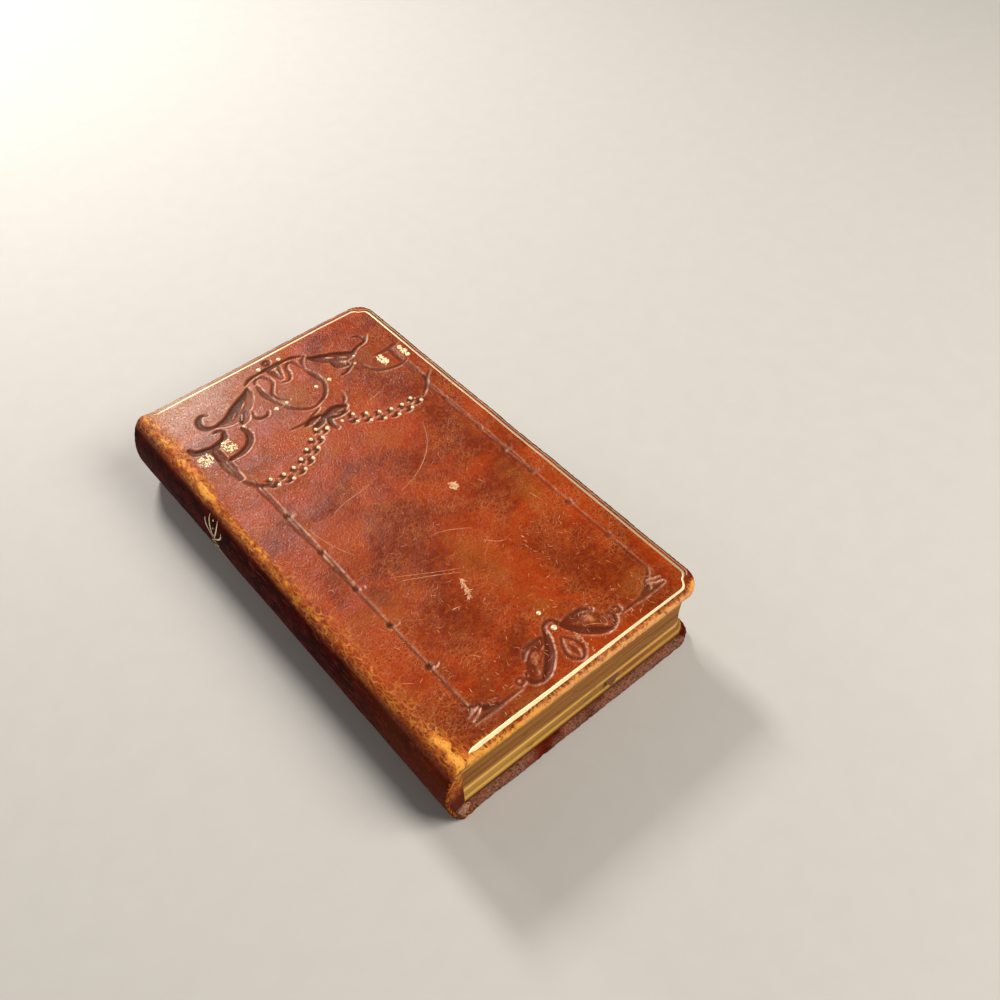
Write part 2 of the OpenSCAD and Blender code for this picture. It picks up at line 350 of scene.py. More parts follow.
def gold_material(name, wear=0.42, metallic=0.85):
    """Gold leaf pressed into leather, worn through in places."""
    s = Shader(name)
    worn = s.remap(s.noise(0.9, 6.0, 0.75), wear - 0.05, wear + 0.03)
    colour = s.mix(worn, (0.22, 0.06, 0.02), s.mix(s.noise(1.8, 3.0), (0.95, 0.72, 0.36), (1.0, 0.88, 0.62)))
    return s.finish(colour, 0.34, s.bump(s.noise(0.3, 4.0, 0.6), 0.02), metallic=s.times(worn, metallic))


def fillet_material(name):
    """Gold line: cream where the glint attribute paints a highlight, dull gold elsewhere, rubbed and chipped
    in patches.
    """
    s = Shader(name)
    fillet_glint = s.attribute("fillet_glint")
    chip = s.remap(s.noise(0.7, 6.0, 0.75), 0.30, 0.38)
    colour = s.mix(fillet_glint, (0.30, 0.26, 0.18), (0.96, 0.86, 0.50))
    colour = s.mix(s.remap(s.noise(2.4, 4.0), 0.4, 0.7, 0.0, 0.25), colour, (0.66, 0.50, 0.26))
    colour = s.mix(chip, (0.20, 0.07, 0.025), colour)
    return s.finish(colour, 0.42, s.bump(s.noise(0.4, 4.0, 0.6), 0.02), metallic=0.25)


def raw_leather_material():
    """Pale torn fibres of the skin under the polished surface."""
    s = Shader("raw_leather_finish")
    tone = s.remap(s.noise(0.8, 5.0, 0.7), 0.35, 0.65)
    colour = s.mix(tone, (0.58, 0.22, 0.075), (0.88, 0.58, 0.34))
    colour = s.mix(s.attribute("dim"), colour, (0.36, 0.070, 0.014))
    return s.finish(colour, 0.55, s.bump(s.noise(0.2, 4.0, 0.7), 0.03), specular=0.25)


def gilt_paper_material():
    """Aged paper whose cut edges are gilt: long fine lines, a tone for each section that paints highlight
    lines and shadow on the gilt.
    """
    s = Shader("gilt_paper_finish")
    edge = s.remap(s.attribute("edge"), 0.4, 0.6)
    streak = s.noise(1.0, 4.0, 0.65, scale=(0.018, 0.018, 4.6))
    gilt = s.mix(s.remap(streak, 0.36, 0.64), (0.080, 0.024, 0.0025), (0.27, 0.090, 0.010))
    # The tone lightens the gilt: painted highlight lines and a painted light band low down; the upper leaves,
    # left dark, carry painted shadow.
    gilt = s.mix(s.attribute("tone"), gilt, (0.68, 0.41, 0.09))
    smudge = s.remap(s.noise(3.5, 5.0, 0.7, scale=(1, 1, 2)), 0.56, 0.74, 0.0, 0.6)
    gilt = s.mix(smudge, gilt, (0.085, 0.034, 0.006))
    rough = s.maths("SUBTRACT", 0.86, s.times(edge, 0.42))
    colour = s.mix(edge, paper_colour(s), gilt)
    return s.finish(colour, rough, s.bump(streak, 0.02), metallic=s.times(edge, 0.18), specular=0.12)


def paper_colour(s):
    fibre = s.noise(0.5, 5.0, 0.7)
    cloud = s.noise(22.0, 4.0, 0.6)
    paper = s.mix(s.remap(cloud, 0.35, 0.65), (0.58, 0.49, 0.34), (0.70, 0.62, 0.47))
    paper = s.mix(s.remap(fibre, 0.3, 0.8, 0.0, 0.35), paper, (0.48, 0.39, 0.26))
    spots = s.remap(s.noise(4.2, 3.0, 0.5), 0.66, 0.74, 0.0, 0.5)
    return s.mix(spots, paper, (0.36, 0.21, 0.10))


def paper_material(name):
    s = Shader(name)
    colour = paper_colour(s)
    normal = s.bump(s.noise(0.35, 5.0, 0.7), 0.02)
    return s.finish(colour, 0.85, normal, specular=0.3)


def board_material():
    s = Shader("board_finish")
    fibre = s.noise(0.8, 6.0, 0.75, scale=(1, 1, 3))
    colour = s.mix(s.remap(fibre, 0.3, 0.7), (0.24, 0.17, 0.10), (0.40, 0.31, 0.20))
    return s.finish(colour, 0.9, s.bump(fibre, 0.08), specular=0.25)


def cloth_material(name, light, deep, thread):
    """Plain weave: two crossed waves of threads."""
    s = Shader(name)
    weave = s.maths("MULTIPLY", s.wave(thread, "Y"), s.wave(thread, "Z"))
    colour = s.mix(s.remap(weave, 0.1, 0.7), deep, light)
    colour = s.mix(s.remap(s.noise(2.0, 4.0), 0.4, 0.7, 0.0, 0.4), colour, deep)
    return s.finish(colour, 0.85, s.bump(weave, thread * 0.3), sheen=0.3)


def silk_material(name, light, deep, thread, direction):
    s = Shader(name)
    ribs = s.wave(thread, direction, 0.4)
    colour = s.mix(s.remap(ribs, 0.2, 0.8), deep, light)
    colour = s.mix(s.remap(s.noise(1.6, 5.0, 0.7), 0.45, 0.7, 0.0, 0.5), colour, deep)
    return s.finish(colour, 0.55, s.bump(ribs, thread * 0.35), sheen=0.5)


# ---------------------------------------------------------------- tooling on the covers

# Middle line of the ornament. Every stroke is a depth, then points of x, height above the tail, and width.
TOOL_X = 32.1


def mirrored(stroke):
    depth, points = stroke
    return depth, [(2 * TOOL_X - x, y, w) for x, y, w in points]


def ring(x, y, radius, width, depth):
    turn = np.linspace(0, 2 * math.pi, 13)
    return depth, [(x + radius * math.cos(a), y + radius * math.sin(a), width) for a in turn]


def crown_strokes():
    return [
        ring(31.4, 114.5, 0.75, 0.75, 0.34),
        (0.36, [(23.5, 111.2, 0.6), (25.4, 112.2, 1.1), (28.0, 112.5, 0.9), (31.4, 112.5, 1.7),
                (35.0, 112.4, 0.9), (37.2, 112.0, 1.1), (39.4, 110.8, 0.5)]),
        (0.30, [(25.4, 109.8, 0.5), (26.2, 111.0, 0.8), (27.6, 111.1, 0.8), (28.6, 109.8, 0.8),
                (29.0, 107.8, 0.7), (27.7, 105.7, 0.7), (26.7, 104.0, 0.7), (27.2, 101.8, 0.6),
                (28.8, 99.9, 0.4)]),
        (0.30, [(37.3, 107.2, 0.4), (37.0, 109.0, 0.6), (36.5, 110.6, 0.8), (35.3, 111.0, 0.8),
                (34.2, 109.8, 0.8), (33.7, 107.4, 0.7), (32.5, 105.7, 0.6), (31.0, 105.9, 0.4)]),
        (0.30, [(30.2, 111.8, 1.0), (31.0, 109.6, 1.6), (31.5, 107.2, 0.8)]),
        (0.30, [(33.0, 111.6, 0.8), (32.4, 109.8, 0.7), (31.7, 107.4, 0.5)]),
        (-0.16, [(31.8, 110.9, 0.3), (31.6, 109.0, 0.4), (31.5, 107.2, 0.3)]),
        (0.26, [(39.8, 110.6, 0.5), (38.5, 109.5, 0.7), (37.8, 107.9, 0.6), (37.4, 106.6, 0.4)]),
        (0.24, [(25.4, 108.9, 0.6), (25.1, 105.8, 1.3), (25.6, 102.6, 0.9), (26.5, 99.6, 0.6)]),
        (0.28, [(26.5, 99.6, 0.6), (28.0, 96.6, 0.7), (30.6, 94.2, 0.7), (32.4, 93.8, 0.5)]),
        (0.22, [(37.3, 106.2, 0.6), (37.9, 103.2, 1.2), (38.4, 100.2, 0.8)]),
        (0.30, [(38.4, 100.2, 0.7), (37.5, 97.8, 0.8), (35.4, 95.2, 0.8), (32.4, 93.8, 0.5)]),
    ]


def wing_strokes():
    """Two trumpet flowers with their curls, the left one fuller than the right."""
    return [
        (0.42, [(23.3, 109.9, 0.6), (21.8, 107.8, 3.0), (18.8, 105.3, 5.0), (15.0, 103.5, 3.8),
                (11.6, 103.6, 1.4)]),
        (0.40, [(18.6, 103.4, 2.0), (17.4, 101.6, 2.6), (16.4, 100.3, 0.8)]),
        (0.34, [(11.8, 103.7, 0.9), (9.6, 104.1, 1.3), (8.4, 105.7, 1.5), (8.8, 107.9, 1.6),
                (10.2, 109.0, 1.1), (11.5, 108.2, 0.5)]),
        (-0.16, [(10.4, 107.4, 0.3), (10.9, 106.6, 0.4), (11.5, 106.2, 0.3)]),
        (0.30, [(19.9, 101.8, 0.5), (19.5, 100.4, 0.7), (20.3, 99.0, 0.9), (21.9, 98.8, 0.8),
                (23.0, 99.9, 0.4)]),
        (-0.30, [(20.4, 106.6, 0.3), (19.4, 105.6, 0.5), (18.4, 104.7, 0.3)]),
        (-0.26, [(17.1, 105.0, 0.3), (16.3, 104.2, 0.5), (15.3, 103.5, 0.3)]),
        (-0.26, [(18.0, 103.7, 0.3), (17.3, 102.5, 0.4), (16.8, 101.6, 0.3)]),
        (0.42, [(40.2, 109.4, 0.6), (41.8, 107.7, 2.2), (44.6, 105.5, 3.8), (47.2, 103.9, 3.4),
                (49.4, 103.5, 1.3)]),
        (0.40, [(44.2, 104.6, 2.2), (44.7, 102.4, 2.8), (46.2, 100.8, 1.2)]),
        (0.28, [(49.2, 103.5, 1.1), (51.6, 104.6, 0.9), (54.0, 105.1, 0.8), (55.7, 106.7, 0.3)]),
        (0.22, [(54.4, 105.6, 0.5), (54.1, 107.4, 0.9), (52.8, 108.5, 0.4)]),
        (0.26, [(43.0, 98.8, 0.5), (44.6, 98.9, 0.7), (46.4, 99.8, 0.6), (47.6, 100.3, 0.4)]),
        (-0.28, [(43.3, 106.9, 0.3), (44.2, 106.1, 0.5), (45.2, 105.3, 0.3)]),
        (-0.26, [(46.2, 104.8, 0.3), (46.9, 104.1, 0.4), (47.6, 103.5, 0.3)]),
        (-0.22, [(45.5, 103.4, 0.3), (46.0, 102.5, 0.4), (46.2, 101.6, 0.3)]),
    ]


def torch_strokes():
    """Left torch with capital, stem, flutes and C-scroll, and the fainter one on the right."""
    strokes = [
        (0.42, [(2.5, 101.0, 1.1), (3.4, 99.2, 1.8), (6.9, 98.1, 2.1), (10.2, 98.8, 1.8),
                (11.5, 101.0, 1.0)]),
        (0.30, [(9.6, 102.2, 0.6), (10.9, 102.0, 1.0), (11.7, 100.8, 0.8)]),
        (0.30, [(7.0, 97.4, 1.9), (6.9, 93.6, 2.2)]),
        (0.36, [(15.4, 99.2, 0.9), (15.6, 96.6, 1.6), (14.1, 94.0, 1.8), (11.4, 92.6, 1.7),
                (8.4, 92.4, 1.2)]),
        (0.30, [(6.9, 84.6, 0.7), (8.8, 81.4, 1.0), (11.8, 78.9, 0.6)]),
        (0.16, [(52.6, 99.2, 0.4), (55.4, 98.9, 1.0), (58.0, 99.1, 1.0), (60.0, 99.4, 0.4)]),
        (0.16, [(57.0, 98.6, 1.2), (56.9, 93.6, 1.4)]),
        (0.20, [(48.6, 98.0, 0.4), (49.6, 95.6, 0.7), (51.6, 93.6, 0.9), (55.4, 92.4, 0.8),
                (58.0, 92.8, 0.4)]),
        (0.22, [(57.1, 87.6, 0.5), (57.4, 85.2, 0.8), (56.2, 82.6, 0.7), (53.4, 80.2, 0.5)]),
        (0.20, [(59.4, 85.8, 0.4), (57.8, 84.6, 0.7), (56.6, 83.0, 0.4)]),
    ]
    for k in (-1, 0, 1):
        strokes.append((0.28, [(6.8 + 0.85 * k, 92.8, 0.6), (6.8 + 0.75 * k, 89.5, 0.6),
                               (7.0 + 0.3 * k, 85.4, 0.5)]))
        strokes.append((0.14, [(57.0 + 0.7 * k, 92.0, 0.5), (57.0 + 0.6 * k, 87.6, 0.5)]))
    return strokes


def bow_strokes():
    return [
        (0.42, [(26.8, 90.0, 0.7), (29.2, 90.5, 2.2), (32.0, 89.6, 2.2), (35.0, 90.3, 2.2),
                (37.6, 89.3, 0.9)]),
        (0.40, [(27.6, 87.8, 0.7), (29.6, 88.5, 1.7), (32.1, 88.7, 1.6), (34.8, 88.1, 1.7),
                (36.8, 87.8, 0.7)]),
        (0.38, [(32.0, 88.6, 1.3), (31.7, 86.4, 1.1), (32.2, 84.5, 0.5)]),
        (0.26, [(23.6, 91.1, 0.4), (27.0, 90.9, 0.6), (29.8, 91.7, 0.6), (32.3, 92.7, 0.4)]),
        (0.26, [(39.4, 93.4, 0.4), (38.7, 91.6, 0.8), (37.8, 90.6, 0.5), (37.6, 89.4, 0.8),
                (36.2, 88.0, 0.5)]),
        (-0.26, [(28.8, 89.6, 0.3), (29.9, 89.9, 0.4), (31.0, 90.3, 0.3)]),
        (-0.26, [(30.4, 87.5, 0.3), (31.2, 88.2, 0.4), (31.9, 89.3, 0.3)]),
        (-0.26, [(33.2, 89.3, 0.3), (34.2, 88.7, 0.4), (35.4, 88.3, 0.3)]),
    ]


def festoon_strokes():
    """A small leaf beside every pearl, longer on the lower side."""
    strokes = []
    for at, along, side in festoon_stations():
        out = Vector((-along.y, along.x)) * side
        reach = 1.0 if side < 0 else 0.55
        route = ((0.25, -0.9, 0.4), (0.95, -0.55, 0.9), (1.25, -0.2 - 0.9 * reach, 0.8),
                 (1.05, -0.6 - 1.4 * reach, 0.3))
        strokes.append((0.36, [(*(at + out * o + along * a), w) for o, a, w in route]))
        strokes.append((0.24, [(*(at - along * 0.9), 0.4), (*(at + out * 0.5), 0.6)]))
    return strokes


def rod_strokes():
    """Rods down both sides with a knot at every joint, and the line along the tail."""
    strokes = []

    def add(x, depth, *points):
        strokes.append((depth, [(x + across, y, width) for across, y, width in points]))

    for x, top, knots, foot, strong in ((8.6, 84.0, (69.9, 56.8, 44.2, 32.6, 20.1), 7.6, 1.0),
                                        (56.4, 83.0, (76.0, 63.4, 54.5, 45.2, 33.0, 21.0), 7.8, 0.42)):
        starts = (top, *knots)
        for y0, y1 in zip(starts, (*knots, foot)):
            if y0 > 50:
                add(x, 0.28 * strong, (-0.5, y0, 0.3), (-0.25, (y0 + y1) / 2, 0.6), (0, y1, 0.4))
                add(x, 0.22 * strong, (0.1, y0 + 0.8, 0.2), (0.4, y0 - 3.0, 0.4), (0.2, y1, 0.3))
            else:
                add(x, 0.17 * strong, (0, y0, 0.3), (0, (y0 + y1) / 2, 0.6), (0, y1, 0.3))
        for y in knots:
            add(x, 0.40 * strong, (0, y - 0.6, 0.7), (0, y, 1.3), (0, y + 0.6, 0.7))
            add(x, 0.14 * strong, (0.3, y + 0.1, 0.4), (1.2, y - 0.7, 0.3), (1.7, y - 0.5, 0.2))
            if strong > 0.5:
                add(x, -0.10, (0.6, y - 0.9, 0.2), (1.3, y - 1.1, 0.3), (2.0, y - 0.8, 0.2))
    return strokes


def tail_strokes():
    """Bud between two curling leaves, with a line to a ring and an arrow at each corner."""
    half = [
        (0.40, [(30.6, 11.8, 0.7), (29.6, 9.6, 1.5), (27.8, 7.0, 2.0), (25.2, 4.6, 1.9), (23.2, 3.5, 0.8)]),
        (0.15, [(29.4, 10.6, 0.8), (27.4, 9.0, 3.6), (25.0, 7.0, 4.8), (22.6, 5.2, 2.4)]),
        (-0.10, [(26.2, 9.3, 0.6), (25.2, 8.4, 1.9), (24.3, 7.0, 0.7)]),
        (0.26, [(23.3, 3.5, 0.8), (21.5, 4.3, 0.9), (20.9, 5.8, 0.7), (21.8, 6.8, 0.4)]),
        (0.20, [(28.4, 9.6, 0.4), (25.8, 8.9, 0.6), (24.0, 7.4, 0.6), (23.3, 5.4, 0.4)]),
        (0.24, [(29.2, 11.0, 0.6), (26.8, 11.0, 1.1), (24.6, 10.6, 0.9), (23.2, 9.3, 0.4)]),
        (0.20, [(25.9, 10.0, 0.4), (26.4, 9.0, 0.7), (25.4, 8.0, 0.4)]),
        (0.14, [(7.8, 4.8, 0.5), (13.0, 4.8, 0.8), (19.2, 4.9, 0.4)]),
        ring(19.6, 6.1, 0.75, 0.5, 0.20),
        (0.22, [(10.2, 7.6, 0.5), (11.2, 5.9, 1.2), (13.4, 5.3, 0.6)]),
        (0.16, [(8.0, 9.2, 0.5), (9.2, 7.9, 0.6), (10.8, 7.4, 0.4)]),
        (-0.16, [(7.3, 6.2, 0.3), (8.8, 6.7, 0.4), (10.3, 7.2, 0.3)]),
        (-0.14, [(7.5, 5.2, 0.3), (9.2, 5.7, 0.3), (10.4, 6.6, 0.3)]),
    ]
    middle = [
        (0.26, [(32.1, 8.6, 0.4), (30.7, 6.4, 0.6), (30.4, 3.9, 0.7), (32.1, 2.2, 0.6), (33.8, 3.9, 0.7),
                (33.5, 6.4, 0.6), (32.1, 8.6, 0.4)]),
        (0.20, [(32.1, 6.3, 0.3), (32.1, 4.6, 1.0), (32.1, 3.2, 0.4)]),
        (0.24, [(29.8, 10.6, 0.5), (30.8, 12.3, 0.7), (32.3, 13.0, 0.8), (33.6, 12.3, 0.7),
                (34.6, 10.6, 0.5)]),
    ]
    return half + [mirrored(stroke) for stroke in half] + middle


def tooled_strokes():
    """Blind tooling of the front cover; a negative depth is a vein left standing in a hollow."""
    return (crown_strokes() + wing_strokes() + torch_strokes() + bow_strokes() + festoon_strokes()
            + rod_strokes() + tail_strokes())


FESTOONS = (
    ([(11.6, 80.0), (15.4, 79.3), (19.2, 80.0), (23.0, 82.2), (26.4, 84.8), (29.6, 87.2)], 7),
    ([(36.6, 84.9), (39.6, 82.8), (43.4, 80.6), (47.6, 79.6), (51.8, 80.3)], 6),
)


def festoon_stations():
    """Where each pearl of the two festoons hangs: centre-line point, direction, and side."""
    found = []
    for points, count in FESTOONS:
        line = curve_through(points, 0.1)
        run = np.concatenate([[0], np.cumsum(np.linalg.norm(np.diff(line, axis=0), axis=1))])
        for k in range(count):
            for side, shift in ((1, 0.0), (-1, 0.35)):
                s = run[-1] * min(1.0, (k + shift) / (count - 1 + 0.35))
                at, ahead, behind = (Vector([np.interp(s + step, run, line[:, axis]) for axis in (0, 1)])
                                     for step in (0.0, 0.3, -0.3))
                found.append((at, (ahead - behind).normalized(), side))
    return found


def press_strokes(x, y, strokes):
    """Depth of the tooling in millimetres, and from 0 to 1 its darkness, a stain with painted shade on each
    wide stroke's upper-left side, and its rims, worn all round with a painted highlight on the lower-right
    side.
    """
    depth, dark, rim = np.zeros(x.shape), np.zeros(x.shape), np.zeros(x.shape)
    for deep, points in sorted(strokes, key=lambda stroke: -stroke[0]):
        line = curve_through(points, 0.3)
        half = line[:, 2] / 2
        reach = half.max() + 0.9
        near = (x > line[:, 0].min() - reach) & (x < line[:, 0].max() + reach)
        near &= (y > line[:, 1].min() - reach) & (y < line[:, 1].max() + reach)
        if not near.any():
            continue
        px, py = x[near], y[near]
        edge, lit = np.full(px.shape, 9.0), np.zeros(px.shape)
        for a, b in zip(line[:-1], line[1:]):
            d = b[:2] - a[:2]
            t = np.clip(((px - a[0]) * d[0] + (py - a[1]) * d[1]) / max(d @ d, 1e-9), 0, 1)
            across = px - a[0] - t * d[0], py - a[1] - t * d[1]
            gap = np.hypot(*across)
            closer = gap - 0.5 * (a[2] + t * (b[2] - a[2]))
            lit = np.where(closer < edge, (0.6 * across[0] - 0.8 * across[1]) / np.maximum(gap, 1e-6), lit)
            edge = np.minimum(edge, closer)
        wall = min(0.5, half.max())
        inside = 1 - smooth(-wall, 0.14, edge)
        if deep > 0:
            depth[near] = np.maximum(depth[near], inside * deep)
            # Painted shade: a wide stroke's stain stays darker on its upper-left side and lighter on its
            # lower-right side, the side turned to the light.
            shade = 1 - 0.55 * smooth(0.6, 1.4, half.max()) * smooth(-0.5, 0.5, lit * (edge / half.max() + 1))
            stain_and_shade = (1 - smooth(-0.25, 0.26, edge)) * min(1.0, 0.42 + 1.5 * deep) * shade
            dark[near] = np.maximum(dark[near], stain_and_shade)
            # Rims: light wear all round, plus a painted highlight on each stroke's lower-right side, the
            # groove wall turned to the light.
            wear_and_lit_side = 0.15 + 0.85 * smooth(-0.1, 0.75, lit)
            rim[near] = np.maximum(rim[near], bump_at(edge, 0.26, 0.16) * min(1.0, 2.8 * deep) * wear_and_lit_side)
        else:
            depth[near] += inside * deep
            dark[near] *= 1 - 0.85 * inside
            rim[near] = np.maximum(rim[near], inside * (1 - 0.85 * smooth(0.4, 0.6, half.max())))
    rim = rim * (1 - smooth(0.15, 0.6, dark))
    return depth - 0.10 * rim, dark, rim


# ---------------------------------------------------------------- the covering leather

FLAT_STEP = 0.36
FINE_STEP = 0.28
COARSE_STEP = 0.70
PLAIN_HALF = 17.0
SPINE_STEP = 0.42
WRAP_STEPS = 10
SPINE_POINTS = 400
INNER = 3.4
INNER_STEPS = 4
SPINE_T = 1.4
# The two skins meet on the spine this far from the back shoulder
SEAM_RUN = 5.0
FLAT_U = COVER_W - EDGE_R
FLAT_V = HALF_H - EDGE_R
ROUND_U = COVER_W - CORNER_R
ROUND_V = HALF_H - CORNER_R
INNER_R = CORNER_R - EDGE_R


def spine_path(front=True):
    """Outline of the rounded spine from one shoulder to the other: run, x, z, and outward normal.

    Not front: it starts at the back shoulder, and z is measured from the outside of the front cover."""
    t = np.linspace(0, math.pi, SPINE_POINTS)
    lean = 0.80 + 0.20 * smooth(0.0, 0.6 * BOOK_T, BOOK_T / 2 * (1 + np.cos(t)))
    x = -(BULGE - 0.1) * np.sin(t) * lean
    z = BOOK_T / 2 * (1 + np.cos(t))
    dx, dz = np.gradient(x), np.gradient(z)
    size = np.hypot(dx, dz)
    run = np.concatenate([[0], np.cumsum(np.hypot(np.diff(x), np.diff(z)))])
    if front:
        return run, x, z, dz / size, -dx / size
    return run[-1] - run[::-1], x[::-1], BOOK_T - z[::-1], (dz / size)[::-1], (dx / size)[::-1]


def edge_fold(m, radius):
    """Outward reach, drop and normal (out, up) at a run m past the start of the rounded corner zone."""
    wrap = math.pi * EDGE_R
    turn = np.clip((m - INNER_R) / EDGE_R, 0, math.pi)
    inward = np.maximum(0, m - INNER_R - wrap)
    flat = m + (EDGE_R - radius) * smooth(0, INNER_R, m)
    reach = np.where(m < INNER_R, flat, INNER_R + EDGE_R - radius + radius * np.sin(turn) - inward)
    return reach, radius * (1 - np.cos(turn)), np.sin(turn), np.cos(turn)


def skin_points(u, v, front):
    """Points and outward normals of a cover's leather over its unrolled coordinates, z from the far cover."""
    run, px, pz, nx, nz = spine_path(front)
    thick = COVER_T - 0.05 - (COVER_T - SPINE_T) * (1 - smooth(-0.5, TURN_X, u))
    radius = thick / 2
    a, b = u - ROUND_U, np.abs(v) - ROUND_V
    corner = (a > 0) & (b > 0)
    m = np.where(corner, np.maximum(a, b), np.maximum(np.where(b > 0, b, a), 0))
    reach, drop, out, up = edge_fold(m, np.where(b > 0, radius, EDGE_R))
    safe_a, safe_b = np.maximum(a, 1e-9), np.maximum(b, 1e-9)
    angle = np.where(a >= b, math.pi / 4 * safe_b / safe_a, math.pi / 2 - math.pi / 4 * safe_a / safe_b)
    cos = np.where(corner, np.cos(angle), np.where(a > 0, 1.0, 0.0))
    sin = np.where(corner, np.sin(angle), np.where(b > 0, 1.0, 0.0))
    side = np.sign(v)
    x = np.where(a > 0, ROUND_U + reach * cos, np.maximum(u, 0))
    y = np.where(b > 0, side * (ROUND_V + reach * sin), v)
    z = np.full(u.shape, BOOK_T)
    nrm = np.stack([out * cos, out * sin * side, up], -1)
    spine = u < 0
    sx, sz = np.interp(-u, run, px), np.interp(-u, run, pz)
    snx, snz = np.interp(-u, run, nx), np.interp(-u, run, nz)
    # On the spine, the fold at head and tail drops along the outline's own normal
    x = np.where(spine, sx - snx * drop, x)
    z = np.where(spine, sz - snz * drop, z - drop)
    nrm = np.where(spine[..., None], np.stack([snx * up, out * side, snz * up], -1), nrm)
    return np.stack([x, y, z], -1), nrm


def folded_axis(flat):
    """Coordinates over the flat part, then round the edge and a little way inside."""
    wrap = flat[-1] + math.pi * EDGE_R * np.arange(1, WRAP_STEPS + 1) / WRAP_STEPS
    inside = wrap[-1] + INNER * np.arange(1, INNER_STEPS + 1) / INNER_STEPS
    return np.concatenate([flat, wrap, inside])


def steps_between(low, high, step):
    return np.linspace(low, high, int(round((high - low) / step)) + 1)


def past_edge(u, v):
    """0 on the flat of a cover, 1 from the turn of its edges on."""
    return np.clip(smooth(FLAT_V, FLAT_V + 0.8, np.abs(v)) + smooth(FLAT_U, FLAT_U + 0.8, u), 0, 1)


def leather_lift(u, v, front):
    """Height of the untooled leather over its ideal surface: soft dents and frayed edges, in millimetres."""
    seed = 11 if front else 41
    seam = -(spine_path()[0][-1] - SEAM_RUN if front else SEAM_RUN)
    dents = (value_noise(u, v, 7.0, seed) - 0.5) * 0.16 + (value_noise(u, v, 2.4, seed + 1) - 0.5) * 0.05
    dents = dents * smooth(seam, seam + 2.5, u)
    fray = (value_noise(u, v * 1.7, 0.55, seed + 2) - 0.5) * (0.16 if front else 0.36)
    return dents + fray * past_edge(u, v) - 0.12


def shoulder_wear(u, height):
    """How worn the spine's shoulder is: most by the title and at the tail corner, broken between."""
    heights = (-2, 6, 13, 25, 45, 60, 75, 84, 88, 93, 105, 120)
    amounts = (1.6, 1.35, 0.42, 0.50, 0.72, 0.98, 1.05, 1.15, 1.75, 1.15, 0.95, 0.8)
    widths = (2.6, 1.8, 1.4, 1.9, 1.7, 1.35, 1.1, 1.1, 1.7, 1.8, 2.0, 2.4)
    centres = (0.6, 0.4, -0.8, -1.3, -1.5, -1.5, -1.4, -1.3, -1.1, -0.5, 0.1, 0.2)
    amount, width, centre = (np.interp(height, heights, values) for values in (amounts, widths, centres))
    stripe = amount * bump_at(u, centre, width)
    fringe = 0.22 * smooth(5.5, 0.5, u) * smooth(-2.4, -1.4, u) * smooth(70, 50, height)
    return np.maximum(stripe, fringe)


def front_masks(u, v, height):
    patch = value_noise(u, v, 5.0, 14)
    fine = value_noise(u, v, 0.8, 15)
    ridge = bump_at(-v, FLAT_V + 1.8, 1.30) * (1.4 + 0.7 * fine) * (0.22 + 0.78 * smooth(-3.5, -0.8, u))
    corner = smooth(15, 3, u) * bump_at(-v, FLAT_V + 1.0, 1.8) * 1.4 * smooth(-4, -1, u)
    other_edges = past_edge(u, v) * 0.10 * smooth(0.5, 0.9, patch)
    rub = np.maximum.reduce([shoulder_wear(u, height), ridge, corner, other_edges])
    for x, y in ((24.6, 7.8), (2 * TOOL_X - 24.6, 7.8)):
        rub = np.maximum(rub, 0.55 * bump_at(np.hypot(u - x, height - y), 0.0, 1.0))
    # Pale: over the head-left a painted sheen on partly bare leather, faintly down the left margin a painted
    # sheen, and along the tail ridge partly worn bare leather, partly painted highlight.
    pale = smooth(95, 117, height) * smooth(38, 5, u) * smooth(-1, 2, u)
    pale += bump_at(u, 3.4, 2.0) * 0.12 * smooth(50, 85, height)
    pale += 0.80 * bump_at(-v, FLAT_V + 1.8, 0.9) * smooth(12, 30, u)
    # Spine mask: the dark red that is partly painted shade, weaker towards the tail and where rubbed;
    # edge_dark darkens the turned head and fore edges and a thin band along the tail.
    spine = smooth(-1.5, -4.6, u) * (1 - 0.6 * smooth(0.3, 1.2, rub)) * (0.72 + 0.28 * smooth(8, 40, height))
    edge_dark = np.maximum(smooth(FLAT_U - 0.1, FLAT_U + 0.9, u), smooth(FLAT_V - 0.1, FLAT_V + 0.9, v))
    edge_dark = np.maximum(0.9 * edge_dark, 0.6 * bump_at(-v, FLAT_V + 0.35, 0.5) * smooth(8, 16, u))
    return rub, pale, np.maximum(spine, edge_dark)


def back_masks(u, v, height):
    patch = value_noise(u, v, 4.0, 44)
    near_flat = smooth(FLAT_V + 1.8, FLAT_V + 0.8, np.abs(v)) * smooth(FLAT_U + 1.8, FLAT_U + 0.8, u)
    lower = 0.45 + 0.55 * near_flat
    worn = 1.05 * past_edge(u, v) * lower * smooth(0.12, 0.6, patch)
    rub = 0.25 * shoulder_wear(u, height)
    # The third mask: the dark spine, partly painted shade, and darkened turned edges.
    return rub, worn, np.maximum(smooth(-1.5, -4.6, u), 0.85 * past_edge(u, v))


